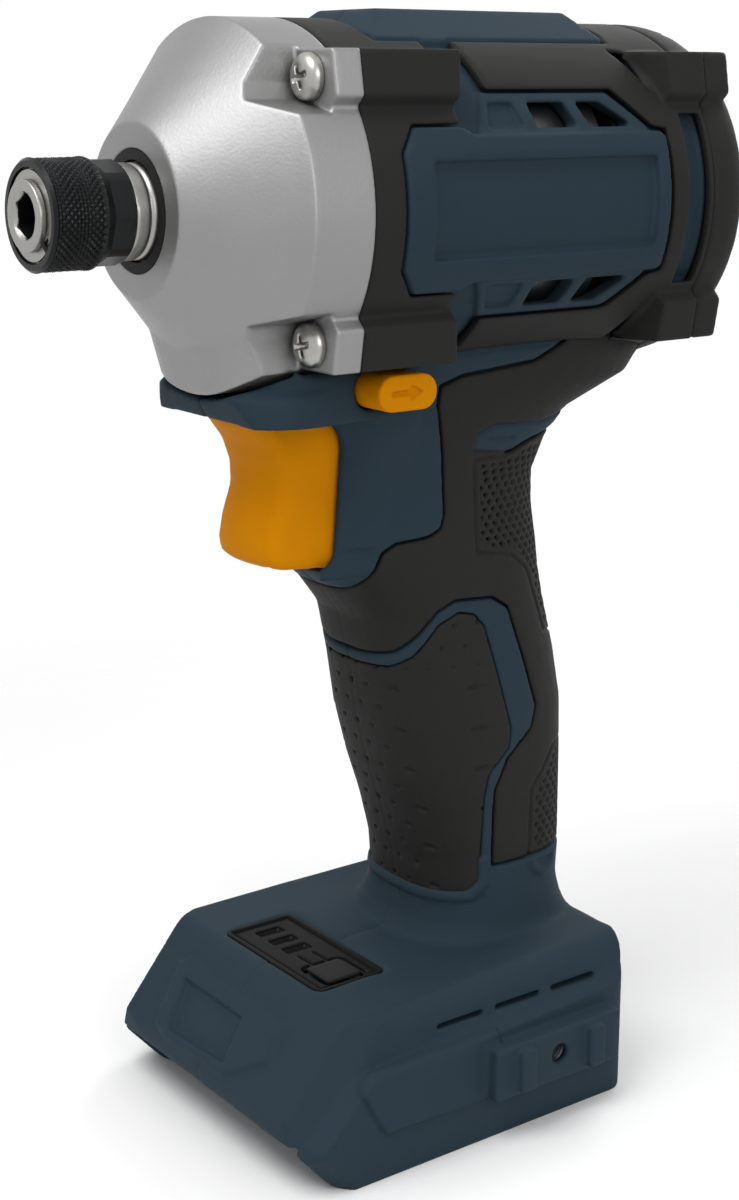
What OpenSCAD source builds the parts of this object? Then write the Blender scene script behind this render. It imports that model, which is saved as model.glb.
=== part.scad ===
// Cordless impact driver with a quarter inch hex chuck, a pistol grip and a slide-in battery foot.
// X runs forward along the drive axis, Y to the tool's left, Z up. The foot stands on Z = 0.

/* [Overall] */
// Length from the mouth of the bit socket to the back of the rear cover
tool_length = 128; // [124:1:136]
// Height of the drive axis above the surface that the foot stands on
axis_height = 165; // [160:1:175]

/* [Barrel] */
// Outer radius of the barrel over its rubber skin
barrel_radius = 30; // [29.5:0.5:32]
// Thickness of the rubber skin over the blue shell
skin = 1.6; // [1.2:0.1:1.8]
// Wall thickness of the blue shell
wall = 2.2; // [2:0.1:2.4]
// Length of the rear cover behind its seam
cover_length = 9.5; // [8.5:0.5:11]
// How far the side panel stands out past the rubber skin
panel_proud = 0.3; // [0.1:0.1:0.6]
// Depth of the plain recess in the side panel
panel_recess = 1.3; // [0.4:0.1:1.4]
// How far the widest point of a corner lug lies inside the barrel's side
lug_inset = 3; // [2.6:0.1:4]
// How far the top of a corner lug lies below the barrel's top
lug_drop = 5.1; // [4:0.1:5.4]
// Height of a corner lug
lug_depth = 7; // [6.8:0.1:8]
// How far the flat top ridge stands above the barrel
ridge_rise = 1.5; // [1:0.1:3]
// Half width of the top ridge where it meets the barrel
ridge_half = 14; // [13:0.5:16]

/* [Hammer case] */
// Length of the case from its seam to its nose face
case_length = 25.8; // [25:0.1:28]
// Length of the round part of the case in front of the seam
case_band = 11.4; // [10:0.1:12]
// Radius of the flat nose face
nose_radius = 13.9; // [13:0.1:15]
// How far the belly under the case reaches in front of the seam
belly_reach = 15.6; // [14:0.1:16]
// Half width of the belly
belly_half = 20; // [18:0.5:22]
// Wall of the spigot that plugs into the barrel
spigot_wall = 2.1; // [2:0.1:2.4]

/* [Chuck] */
// Outer radius of the knurled chuck sleeve
sleeve_radius = 8.8; // [8.6:0.1:9.2]
// Length of the chuck sleeve
sleeve_length = 14.5; // [14:0.1:16]
// How far the sleeve lies behind the mouth of the socket
sleeve_setback = 1; // [0.6:0.1:1.4]
// Length of the bright collar between sleeve and case
collar_length = 3.8; // [3.4:0.1:5]
// Radius of that collar, which is also the anvil's journal
collar_radius = 7.65; // [7.4:0.05:7.8]
// Distance across the flats of the hex socket
socket_flats = 6.45; // [6.4:0.01:6.6]
// Depth of the hex socket
socket_depth = 24; // [22:0.5:26]
// Radius of the anvil inside the sleeve
spindle_radius = 5.6; // [5.5:0.05:5.8]
// How far the sleeve pulls forward to let a bit go
sleeve_travel = 4; // [3.5:0.1:4.2]

/* [Impact mechanism] */
// How far the hammer's side lies inside the barrel's
hammer_inset = 10.5; // [10.3:0.1:11.5]
// Length of the hammer without its jaws
hammer_length = 13; // [12:0.1:13.5]
// How far the hammer draws back over the cam shaft
hammer_travel = 7; // [6:0.1:7.5]
// Length of the jaws on hammer and anvil
jaw_length = 4; // [3.5:0.1:4.2]
// Radius of the cam shaft
cam_radius = 8; // [7.6:0.1:8.2]
// Radius of the cam balls
cam_ball_radius = 2.4; // [2.2:0.1:2.5]
// Wire diameter of the hammer spring
hammer_wire = 1.8; // [1.6:0.1:2]
// Whole turns of the hammer spring
hammer_turns = 4; // [3:1:4]

/* [Gears] */
// Tooth size of all gears, as the module
tooth_module = 0.8; // [0.78:0.01:0.82]
// Teeth on the motor pinion
sun_teeth = 9; // [9:9:9]
// Teeth on each planet gear
planet_teeth = 18; // [18:9:18]
// Number of planet gears
planet_count = 3; // [2:1:3]
// Face width of the planet gears
planet_width = 5; // [4.5:0.1:5.2]

/* [Motor] */
// Length of the stator stack
stator_length = 20; // [18:0.5:21]
// Radius of the rotor
rotor_radius = 10.6; // [10:0.1:10.8]
// Air gap between rotor and stator
air_gap = 0.5; // [0.4:0.1:0.7]
// Radius of the motor shaft
shaft_radius = 2.5; // [2.4:0.1:2.6]
// Length of the cooling fan
fan_length = 7.5; // [6.5:0.1:8]

/* [Grip] */
// Depth of the grip from front to back
grip_depth = 45; // [44:0.5:47]
// Width of the grip from side to side
grip_width = 34; // [33:0.5:36]

/* [Trigger and selector] */
// Half width of the trigger
trigger_half = 10.5; // [9.8:0.1:11]
// How far the trigger pulls back
trigger_travel = 6.5; // [5:0.1:7]
// Length of the direction selector along the tool
selector_length = 12; // [11:0.5:13]
// Height of the direction selector
selector_height = 6; // [5:0.1:6.4]
// How far the selector slides to either side
selector_travel = 3.5; // [2.5:0.1:4]

/* [Foot] */
// Width of the foot across its skirts
foot_width = 65.2; // [64:0.2:68]
// Height of the foot at its front
foot_height = 30; // [29:0.5:31]
// Height of the battery bay under the foot
bay_height = 9.8; // [9:0.1:10.5]
// Wall of the skirts beside the bay
skirt_wall = 3.4; // [3:0.1:3.8]
// How far the hook boss stands out from the skirt
hook_boss = 3.4; // [2.8:0.1:3.8]
// Radius of the threaded hook hole
hook_hole = 2; // [1.9:0.05:2.1]
// Travel of the mode button in the display panel
button_travel = 0.6; // [0.4:0.1:0.8]

/* [Fasteners] */
// Head radius of the pan head screws that hold the case
case_head = 3.7; // [3.5:0.1:3.8]
// Shank radius of those screws
case_shank = 1.95; // [1.8:0.05:2]
// Head radius of the screws that close the housing and the cover
small_head = 2.6; // [2.4:0.1:2.8]
// Shank radius of those screws
small_shank = 1.45; // [1.3:0.05:1.5]

/* [Clearances] */
// Radial clearance of a part that turns or slides on another
running = 0.05; // [0.03:0.01:0.08]
// Clearance of a part that sits still in its seat
seat = 0.1; // [0.05:0.01:0.15]
// Clearance between parts that pass each other
passing = 0.4; // [0.3:0.05:0.5]

/* [Hidden] */

// Smoothness of round parts, of small round parts and of lofted sections
round_fn = 72;
small_fn = 32;
grip_sides = 20;
curve_steps = 10;
turn_rings = 8;
wire_sides = 6;
// Overrun of every cut past the surface that it opens
over = 1;
// A size larger than the whole tool, for half spaces and masks
reach = 400;

// Stations along the drive axis, worked back from the socket mouth
tip_x = tool_length / 2;
tail_x = -tool_length / 2;
sleeve_front = tip_x - sleeve_setback;
sleeve_back = sleeve_front - sleeve_length;
nose_x = sleeve_back - collar_length;
seam_x = nose_x - case_length;
cover_x = tail_x + cover_length;
shell_length = seam_x - cover_x;
shoulder_x = seam_x + case_band;
case_swell = 4;
case_rise = 3;
seal_depth = 1.7;
seal_wall = 1.7;
seal_outer = collar_radius + passing + seal_wall;
bush_length = 8.5;
bush_front = nose_x - seal_depth;
bush_back = bush_front - bush_length;
thrust_gap = 0.3;
jaw_front = bush_back - thrust_gap;
jaw_back = jaw_front - jaw_length;
jaw_inset = 1.5;
hammer_gap = 0.2;
hammer_front = jaw_back - hammer_gap;
hammer_back = hammer_front - hammer_length;
carrier_gap = 0.8;
flange_front = hammer_back - hammer_travel - carrier_gap;
flange_length = 3;
flange_back = flange_front - flange_length;
planet_gap = 0.2;
planet_front = flange_back - planet_gap;
planet_back = planet_front - planet_width;
disc_front = planet_back - planet_gap;
disc_length = 2;
disc_back = disc_front - disc_length;
plate_front = disc_back - thrust_gap;
carrier_bearing_length = 5;
bearing_length = 5;
bearing_web = 1;
plate_length = 7.5;
plate_back = plate_front - plate_length;
front_bearing_front = plate_front - carrier_bearing_length - bearing_web;
front_bearing_back = front_bearing_front - bearing_length;
coil_overhang = 3;
coil_gap = 1;
stator_front = plate_back - coil_gap - coil_overhang;
stator_back = stator_front - stator_length;
board_gap = 0.3;
board_length = 1.2;
board_front = stator_back - coil_overhang - board_gap;
board_back = board_front - board_length;
fan_gap = 1.3;
fan_front = board_back - fan_gap;
fan_back = fan_front - fan_length;
rear_bearing_front = cover_x + thrust_gap + bearing_web;
rear_bearing_back = rear_bearing_front - bearing_length;
shaft_back = rear_bearing_back - thrust_gap;

// Radii that follow the barrel
bore_radius = barrel_radius - skin - wall;
spigot_radius = bore_radius - seat;
ring_outer = spigot_radius - spigot_wall - seat;
hammer_room = 1.5;
hammer_radius = barrel_radius - hammer_inset;
cavity_radius = hammer_radius + hammer_room;

// Gear sizes; teeth are cut back to just short of the pitch circle so that they clear at every angle
mesh_gap = 0.15;
ring_teeth = sun_teeth + planet_teeth * 2;
sun_pitch = tooth_module * sun_teeth / 2;
planet_pitch = tooth_module * planet_teeth / 2;
ring_pitch = tooth_module * ring_teeth / 2;
orbit_radius = sun_pitch + planet_pitch;
tooth_depth_share = 1.1;
tooth_depth = tooth_module * tooth_depth_share;
tooth_top_share = 0.22;
tooth_root_share = 0.36;
pin_radius = 2;
carrier_rim = 2;
carrier_radius = orbit_radius + pin_radius + carrier_rim;
pinion_room = 0.6;
carrier_bore = sun_pitch + pinion_room;
carrier_pit = 1.4;
bridge_half = 2.2;
bridge_gap = 0.6;
carrier_boss = 6;
carrier_bearing_radius = 10.5;
bearing_radius = 8;
bearing_dish = 0.6;
bearing_race_share = 0.3;

// Chuck: snap ring, washer, balls, step that holds the balls in, and outline of the sleeve
hex_half_angle = 30;
snap_inner = 4.7;
snap_outer = 7;
snap_setback = 0.2;
snap_length = 0.9;
snap_front = sleeve_front - snap_setback;
snap_back = snap_front - snap_length;
snap_gap = 2.4;
snap_turn = -40;
washer_length = 1;
washer_back = snap_back - washer_length;
pilot_radius = 3.4;
pilot_length = 4;
ball_radius = 1.4;
step_length = 3;
step_setback = 2.5;
step_back = sleeve_back + step_setback;
step_front = step_back + step_length;
ball_x = step_back + step_length / 2;
ball_orbit = spindle_radius - ball_radius;
sleeve_bore = 7.4;
sleeve_waist = 8.2;
sleeve_knurl = 9.5;
sleeve_cone = 1.2;
sleeve_chamfer = 0.6;
sleeve_wire = 0.8;
sleeve_turns = 3;

// Hammer spring pocket and cam balls
spring_mean = 13.4;
spring_pocket_depth = 8;
spring_floor = hammer_back + spring_pocket_depth;
cam_front_wall = 2.6;
cam_ball_x = hammer_front - hammer_travel - cam_ball_radius - cam_front_wall;

// Rotor magnets, fan and stator
magnet_count = 4;
magnet_depth = 2;
magnet_half = 5;
magnet_inset = 1.6;
fan_blades = 11;
fan_rim = 2;
fan_disc = 1.6;
fan_hub = 6;
fan_blade = 1.2;
fan_room = 3;
fan_radius = bore_radius - fan_room;
slot_count = 6;
tooth_half = 3.2;
yoke = 4;
shoe = 2;
shoe_half = 5;
coil_thick = 2.4;
coil_clear = 0.2;
coil_rise = 1.4;

// Front lugs, case screws and rear lugs
lug_reach = barrel_radius - lug_inset;
lug_top = barrel_radius - lug_drop;
lug_low = lug_top - lug_depth;
ridge_top = barrel_radius + ridge_rise;
lug_taper = 1.2;
lug_root = 14;
lug_bevel = 1.8;
lug_length_share = 0.27;
lug_rear_length = 12.5;
lug_ramp = 4.5;
cover_lug = 5.9;
cover_straight_share = 0.33;
screw_inset_y = 6.9;
screw_inset_z = 4.3;
screw_y = lug_reach - screw_inset_y;
screw_z = lug_top - screw_inset_z;
pocket_floor = 5.3;
pocket_shares = [[0.52, 1.1], [0.535, 0.66], [0.58, 0.575], [0.847, 0.51], [1.1, 0.42], [1.1, 1.1]];
case_head_height = 2.6;
case_screw_length = 20;
head_share = 0.33;
head_round_share = 0.9;
cross_width = 0.9;
cross_depth = 1.4;
small_head_height = 1.8;
cover_screw_length = 12;
cover_recess = 1.4;

// Side panel, vents, bumpers and rear slot: share of the shell length behind the seam,
// and share of the barrel radius above the axis
panel_shares = [[0.083, 0], [0.083, 0.3], [0.125, 0.44], [0.25, 0.44], [0.29, 0.39], [0.845, 0.39],
    [0.857, 0.36], [0.857, 0]];
recess_shares = [[0.162, 0.257], [0.82, 0.257]];
vent_frame_shares = [[0.29, 0.3], [0.349, 0.605], [0.719, 0.605], [0.816, 0.413], [0.816, 0.3]];
blind_vent_shares = [[0.339, 0.417], [0.36, 0.55], [0.43, 0.55], [0.448, 0.417]];
front_vent_shares = [[0.482, 0.417], [0.47, 0.55], [0.58, 0.55], [0.605, 0.417]];
rear_vent_shares = [[0.639, 0.417], [0.615, 0.55], [0.69, 0.55], [0.775, 0.417]];
front_bumper_shares = [[0, 1.3], [0.14, 1.3], [0.14, 0.9], [0.27, 0.9], [0.255, 0.55],
    [0.25, -0.52], [0.27, -0.86], [0, -0.86]];
rear_bumper_shares = [[0.355, 0.9], [0.366, 0.62], [0.736, 0.62], [0.825, 0.42], [0.87, 0.4],
    [0.87, -0.4], [0.825, -0.42], [0.736, -0.6], [0.355, -0.58], [0.343, -0.86], [0.72, -0.86],
    [0.8, -1.3], [1, -1.3], [1, 1.3], [0.84, 1.3], [0.84, 0.9]];
rear_slot_shares = [[0.92, 0.483], [0.988, 0.483], [0.988, -0.483], [0.92, -0.483]];
vent_sink = 0.5;
rear_slot_depth = 1;
blind_depth = 1;
trim_gap = 0.15;

// Top ridge along the barrel
ridge_setback = 10.9;
ridge_front = seam_x - ridge_setback;
ridge_length = 50;
ridge_crown = 8;
ridge_slope = 4.5;
ridge_root = 24;

// Grip sections: share of the grip height, then the front and the rear as shares of its depth,
// then the half width as a share of half its width
grip_shares = [[-0.015, -0.06, -0.95, 1.16], [0, -0.1, -0.94, 1.12], [0.022, -0.145, -0.91, 1.05],
    [0.056, -0.17, -0.885, 1.01], [0.111, -0.151, -0.904, 0.99], [0.178, -0.096, -0.907, 1],
    [0.244, -0.027, -0.907, 1.02], [0.319, 0.033, -0.898, 1.05], [0.393, 0.067, -0.851, 1.05],
    [0.467, 0.118, -0.795, 1.02], [0.511, 0.222, -0.775, 1.01], [0.548, 0.35, -0.771, 1],
    [0.58, 0.35, -0.752, 1], [0.6, 0.35, -0.742, 1], [0.644, 0.35, -0.738, 1.01],
    [0.689, 0.35, -0.806, 1.03], [0.726, 0.35, -0.93, 1.04], [0.763, 0.35, -1.26, 1.045],
    [0.8, 0.35, -1.36, 1.04], [0.9, 0.35, -1.2, 1]];
// Roundness of a grip section, where two is an ellipse and more is squarer
grip_power_share = 2.6;
neck_shares = [[0.6, 0.508], [0.24, 0.508], [0.2, 0.515], [0.17, 0.54], [0.14, 0.567],
    [0.09, 0.579], [-0.05, 0.583], [-0.105, 0.592], [-0.12, 0.61], [-0.1, 0.7], [-0.085, 0.75],
    [-0.1, 0.776], [-0.2, 0.787], [-0.55, 0.797], [-0.72, 0.82], [-0.72, 0.95], [0.9, 0.95],
    [0.9, 0.508]];
band_shares = [[0.6, 0.416], [0.07, 0.418], [0.02, 0.425], [-0.035, 0.447], [-0.105, 0.481],
    [-0.176, 0.493], [-0.36, 0.489], [-0.443, 0.472], [-0.6, 0.325], [-0.575, 0.294],
    [-0.455, 0.259], [-0.395, 0.214], [-0.4, 0.03], [0.6, 0.03]];
pad_shares = [[0.6, 0.398], [0.084, 0.4], [0.025, 0.404], [-0.029, 0.42], [-0.109, 0.462],
    [-0.193, 0.477], [-0.272, 0.471], [-0.321, 0.453], [-0.465, 0.301], [-0.46, 0.273],
    [-0.365, 0.241], [-0.349, 0.208], [-0.349, 0.085], [-0.305, 0.068], [-0.21, 0.065],
    [0.6, 0.056]];
skin_floor_share = 0.105;
// Height of the neck under the axis, which keeps its size when the grip grows, and its share
neck_height = 61;
neck_share = 0.548;

// Chin under the case, in front of the trigger
chin_depth = 4.4;
chin_lift = 0.6;
chin_drop = barrel_radius + chin_depth;
chin_edge = barrel_radius - chin_lift;
chin_setback = 2.4;
chin_flare = 19;
chin_waist = 3;
chin_corner = 15;
belly_lead = 7.9;
chin_back = 30;
cheek_setback = 6.5;
cheek_x = seam_x - cheek_setback;
cheek_round = 6;
cheek_thick = 2;
chin_slope = 16;

// Trigger: share of its height, and how far its front lies ahead of its back as a share of its depth
trigger_depth = 24;
trigger_inside = 13.1;
trigger_reach = 27.2;
trigger_gap = 0.2;
trigger_drop = chin_drop + trigger_reach;
trigger_height = trigger_reach - trigger_gap;
trigger_back = seam_x - trigger_inside;
trigger_low = axis_height - trigger_drop;
trigger_shares = [[0, 0.57], [0.04, 0.73], [0.1, 0.81], [0.21, 0.85], [0.36, 0.81], [0.545, 0.737],
    [0.675, 0.746], [0.83, 0.81], [0.96, 0.915], [1, 0.96]];
trigger_round = 6.5;
trigger_sides = 16;
plunger_radius = 2.5;
plunger_length = 24;
spring_pocket = 4.6;
pocket_depth = 9;
trigger_wire = 0.8;
trigger_turns = 5;
switch_gap = 0.3;
switch_length = 22;
switch_half = 10;
switch_short = 7;
switch_height = trigger_height - switch_short;
switch_lift = 2.4;
switch_low = trigger_low + switch_lift;
switch_front = trigger_back - trigger_travel - switch_gap;
rib_thick = 2;
rib_height = 14;
rib_inset = 4;

// Direction selector
selector_setback = 10.5;
selector_x = seam_x - selector_setback;
selector_tuck = 0.8;
selector_drop = barrel_radius - selector_tuck;
selector_z = axis_height - selector_drop;
selector_face = 24.6;
arrow_length = 6.6;
arrow_width = 0.9;
arrow_head = 2.8;
arrow_depth = 0.7;

// Foot: side outline as shares of its length ahead of its back face, and of its height
foot_length = 78.5;
foot_back = -41;
foot_side_shares = [[0.02, 0], [0.875, 0], [0.985, 0.327], [1, 0.4], [0.83, 0.955], [0.81, 0.972],
    [0, 1.02], [-0.01, 0.4]];
skirt_shares = [[0.02, 0], [0.875, 0], [0.955, 0.24], [0.95, 0.32], [0.83, 0.66], [0.79, 0.7],
    [0, 0.82], [-0.01, 0.4]];
foot_top_share = 0.975;
foot_top = foot_height * foot_top_share;
foot_corner = 4;
foot_bow = 3.5;
ledge_step = 2.1;
shoulder_round = 6.5;
foot_prow = 2;
foot_wall = 2.2;
foot_room = 26.4;
bay_back = 7.5;
rail_height = 3;
rail_reach = 2.6;
vent_slot_length = 10.8;
vent_slot_height = 1.4;
vent_slot_pitch = 13.2;
vent_slot_front = 6;
vent_slot_z = 24;
vent_slot_count = 3;
boss_front = -3.4;
boss_back = -32.7;
boss_low = 8.9;
boss_high = 18.5;
rib_proud = 1.6;
boss_rib = 3.3;
boss_rib_front = -8.2;
boss_rib_back = -24.5;
hook_x = -18.2;
hook_z = 14;
insert_radius = 3;
insert_length = 6;
nose_recess_low_share = 0.42;
nose_recess_high_share = 0.78;
nose_recess_half = 13;
nose_recess_depth = 0.5;

// Display panel and mode button on top of the foot
panel_x = 13.6;
panel_length = 15;
panel_width = 31.6;
panel_thick = 1.6;
panel_corner = 2;
panel_lift = 0.2;
lamp_length = 4.8;
lamp_width = 2;
lamp_pitch = 4.5;
lamp_y = -11.2;
lamp_count = 3;
button_length = 8;
button_width = 7.8;
button_y = 9.7;
button_stem = 2;
button_corner = 1;

// Pieces inside the foot
unit_back = -24;
unit_length = 41;
unit_half = 22;
unit_height = 8;
block_length = 17;
block_half = 14;
block_drop = 7.4;
blade_thick = 0.8;
blade_height = 3.6;
blade_reach = 9;
blade_seat = 10;
blade_places_share = [-0.75, -0.28, 0.28, 0.75];

// Screws that close the two halves: places in the grip as shares, then set in from both ends of the foot
grip_screw_shares = [[-0.222, 0.511], [-0.489, 0.119], [-0.511, 0.751]];
grip_screw_places = [for (p = grip_screw_shares) on_grip(p)];
rear_screw_inset = 10;
rear_screw_height = 20;
front_screw_inset = 13.5;
front_screw_height = 19.5;
foot_screw_places = [[foot_back + rear_screw_inset, rear_screw_height],
    [foot_back + foot_length - front_screw_inset, front_screw_height]];
screw_places = concat(grip_screw_places, foot_screw_places);
post_radius = 4.4;
post_floor = 7;
screw_length = 16;

// Three motor leads from the sensor board down the back of the grip to the control unit
lead_radius = 1;
lead_sides = 8;
lead_pitch = 3;
lead_shares = [[-0.844, 0.8], [-0.756, 0.756], [-0.656, 0.711], [-0.616, 0.637], [-0.62, 0.548],
    [-0.656, 0.459], [-0.7, 0.356], [-0.733, 0.237], [-0.733, 0.133], [-0.689, 0.059], [-0.6, 0],
    [-0.511, -0.044], [-0.444, -0.069]];

// Place of a share pair on the side of the barrel and on the side of the grip
function on_barrel(p) = [seam_x - p[0] * shell_length, axis_height + p[1] * barrel_radius];
function grip_z(share) = share > neck_share
    ? axis_height - (1 - share) / (1 - neck_share) * neck_height
    : foot_height + share / neck_share * (axis_height - neck_height - foot_height);
function on_grip(p) = [p[0] * grip_depth, grip_z(p[1])];
// Mirror an outline of the barrel about the drive axis
function below(shares) = [for (p = shares) [p[0], -p[1]]];
// Close an outline with its mirror image
function both_sides(points) = concat(points, [for (i = [len(points) - 1:-1:0]) [points[i][0],
    -points[i][1]]]);
// Points of a curve with one control point
function curve(a, b, c, steps) = [for (i = [0:steps]) let (t = i / steps)
    a * (1 - t) * (1 - t) + b * 2 * t * (1 - t) + c * t * t];
// Signed power, for squared ellipses
function swell(v) = sign(v) * pow(abs(v), 2 / grip_power_share);

// Sweep an outline in the XZ plane along Y, one in the YZ plane along X, or one in XY along Z
module along_y(from, to) {
    translate([0, to, 0]) rotate([90, 0, 0]) linear_extrude(to - from) children();
}
module along_x(from, to) {
    translate([from, 0, 0]) rotate([90, 0, 90]) linear_extrude(to - from) children();
}
module along_z(from, to) {
    translate([0, 0, from]) linear_extrude(to - from) children();
}
// Turn a profile of radius and X about the drive axis
module turned() {
    translate([0, 0, axis_height]) rotate([0, 90, 0]) rotate_extrude($fn = round_fn) children();
}
// A ring or disc on the drive axis
module ring(inner, outer, from, to) {
    turned() translate([inner, from]) square([outer - inner, to - from]);
}
// A round bar on the X direction, the Y direction or the Z direction
module bar_x(radius, from, to, y, z) {
    translate([from, y, z]) rotate([0, 90, 0]) cylinder(r = radius, h = to - from, $fn = round_fn);
}
module bar_y(radius, from, to, x, z) {
    translate([x, to, z]) rotate([90, 0, 0]) cylinder(r = radius, h = to - from, $fn = round_fn);
}
module block(low, high) {
    translate(low) cube(high - low);
}
// Keep only the left half of a form
module left_half() {
    intersection() {
        union() children();
        block([-reach, 0, -reach], [reach, reach, reach]);
    }
}
// A copy of the left part for the right side
module right_side() {
    mirror([0, 1, 0]) children();
}
// Round the corners of an outline
module rounded(radius) {
    offset(r = radius, $fn = small_fn) offset(delta = -radius) children();
}
module barrel_outline(shares) {
    polygon([for (p = shares) on_barrel(p)]);
}
module grip_outline(shares) {
    polygon([for (p = shares) on_grip(p)]);
}
// An unbroken wire along X, from straight end to straight end
module coil(mean, wire, from, to, turns) {
    rings = turns * turn_rings;
    sides = wire_sides;
    points = [for (i = [0:rings]) let (a = 360 * i / turn_rings, x = from + wire / 2
        + (to - from - wire) * i / rings)
        for (k = [0:sides - 1]) let (b = 360 * k / sides, r = mean + cos(b) * wire / 2)
        [x + sin(b) * wire / 2, r * cos(a), r * sin(a)]];
    sides_faces = [for (i = [0:rings - 1]) for (k = [0:sides - 1]) let (n = (k + 1) % sides)
        each [[i * sides + k, (i + 1) * sides + k, (i + 1) * sides + n],
            [i * sides + k, (i + 1) * sides + n, i * sides + n]]];
    first_end = [[for (k = [0:sides - 1]) k]];
    last_end = [[for (k = [sides - 1:-1:0]) rings * sides + k]];
    polyhedron(points, concat(sides_faces, first_end, last_end));
}

// Left half of the lofted grip, drawn in by an inset all round
module grip_half(inset) {
    last = len(grip_shares) - 1;
    count = grip_sides + 3;
    points = [for (i = [0:last]) let (s = grip_shares[i],
        z = grip_z(s[0]) + (i == 0 ? -inset : i == last ? inset : 0),
        front = s[1] * grip_depth, rear = s[2] * grip_depth,
        middle = (front + rear) / 2, deep = (front - rear) / 2 - inset,
        wide = s[3] * grip_width / 2 - inset)
        each concat([[middle + deep, -over - inset, z]],
            [for (k = [0:grip_sides]) let (a = 180 * k / grip_sides)
                [middle + deep * swell(cos(a)), wide * swell(sin(a)), z]],
            [[middle - deep, -over - inset, z]])];
    walls = [for (i = [0:last - 1]) for (k = [0:count - 1]) let (n = (k + 1) % count)
        each [[i * count + k, (i + 1) * count + n, i * count + n],
            [i * count + k, (i + 1) * count + k, (i + 1) * count + n]]];
    floor_face = [[for (k = [0:count - 1]) k]];
    top_face = [[for (k = [count - 1:-1:0]) last * count + k]];
    polyhedron(points, concat(walls, floor_face, top_face));
}
module barrel_form(inset) {
    ring(0, barrel_radius - inset, cover_x, seam_x);
}
// Section of one corner lug, above or below the axis, drawn in by an inset
module lug_section(side, inset) {
    low = lug_low + inset;
    top = lug_top - inset;
    far = lug_reach - inset;
    polygon([for (p = [[lug_root, top], [far - lug_taper, top], [far, low], [far - lug_bevel,
        low - lug_bevel],
        [lug_root, low - lug_bevel]]) [p[0], axis_height + side * p[1]]]);
}
module lug_pair(from, to, inset) {
    for (side = [-1, 1]) along_x(from, to) lug_section(side, inset);
}
module front_lugs(inset) {
    lug_pair(seam_x - shell_length * lug_length_share + inset, seam_x + (inset > 0 ? over : 0), inset);
}
// Rear lugs start in a slanted ramp
module rear_lugs(inset, back) {
    front = cover_x + lug_rear_length - inset;
    intersection() {
        lug_pair(back, front, inset);
        along_z(-reach, reach) polygon([[back - over, 0], [back - over, reach],
            [front - lug_ramp, lug_reach], [front, lug_root], [front, 0]]);
    }
}
// Flat topped ridge along the top of the barrel
module ridge(grow) {
    side_z = axis_height + sqrt(barrel_radius * barrel_radius - ridge_half * ridge_half);
    intersection() {
        along_x(ridge_front - ridge_length - grow, ridge_front + grow) polygon([
            [-ridge_half - grow, axis_height + ridge_root],
            [-ridge_half - grow, side_z],
            [-ridge_crown, axis_height + ridge_top], [ridge_crown, axis_height + ridge_top],
            [ridge_half + grow, side_z],
            [ridge_half + grow, axis_height + ridge_root]]);
        along_y(-reach, reach) polygon([
            [ridge_front + grow, axis_height + ridge_root],
            [ridge_front + grow, axis_height + ridge_top - ridge_slope],
            [ridge_front - ridge_slope, axis_height + ridge_top],
            [ridge_front - ridge_length + ridge_slope, axis_height + ridge_top],
            [ridge_front - ridge_length - grow, axis_height + ridge_top - ridge_slope],
            [ridge_front - ridge_length - grow, axis_height + ridge_root]]);
    }
}
module panel_outline() {
    barrel_outline(concat(panel_shares, [for (i = [len(panel_shares) - 2:-1:1])
        [panel_shares[i][0], -panel_shares[i][1]]]));
}
// Raised side panel with its recess and the two rows of vents
module side_panel() {
    difference() {
        union() {
            intersection() {
                ring(bore_radius, barrel_radius + panel_proud, cover_x, seam_x);
                along_y(0, reach) panel_outline();
            }
            for (shares = [vent_frame_shares, below(vent_frame_shares)]) intersection() {
                ring(bore_radius, barrel_radius - vent_sink, cover_x, seam_x);
                along_y(0, reach) barrel_outline(shares);
            }
        }
        intersection() {
            ring(barrel_radius + panel_proud - panel_recess, barrel_radius + over, cover_x, seam_x);
            along_y(0, reach) barrel_outline(both_sides(recess_shares));
        }
    }
}
module vent_cuts() {
    for (shares = [front_vent_shares, rear_vent_shares]) {
        along_y(0, reach) barrel_outline(shares);
        along_y(0, reach) barrel_outline(below(shares));
    }
    intersection() {
        ring(barrel_radius - skin - rear_slot_depth, barrel_radius + over, cover_x, seam_x);
        along_y(0, reach) barrel_outline(rear_slot_shares);
    }
    for (shares = [blind_vent_shares, below(blind_vent_shares)]) intersection() {
        ring(barrel_radius - vent_sink - blind_depth, barrel_radius + over, cover_x, seam_x);
        along_y(0, reach) barrel_outline(shares);
    }
}
// Chin under the hammer case, with a rounded front and a slanted lower edge
module chin_form() {
    front = seam_x + belly_reach;
    back = seam_x - chin_back;
    bottom = axis_height - chin_drop;
    waist = belly_half - chin_waist;
    intersection() {
        along_z(bottom, axis_height) rounded(chin_corner) polygon(both_sides([[back, waist],
            [seam_x - chin_flare, waist], [front, belly_half]]));
        along_y(-reach, reach) polygon([[back, axis_height], [back, bottom], [front - chin_setback, bottom],
            [front, axis_height - chin_edge], [front, axis_height]]);
    }
}
// Rounded corner of the cheek above and behind the trigger
module cheek_corner() {
    top = axis_height - chin_drop;
    along_y(trigger_half + passing, trigger_half + passing + cheek_thick) difference() {
        translate([cheek_x - over, top - cheek_round]) square(cheek_round + over);
        translate([cheek_x + cheek_round, top - cheek_round]) circle(r = cheek_round, $fn = small_fn);
    }
}
// Room that the hammer case and its belly take in front of the seam
module case_room() {
    ring(0, barrel_radius + seat, seam_x, tip_x);
    lug_pair(seam_x, shoulder_x, -seat);
}

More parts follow.
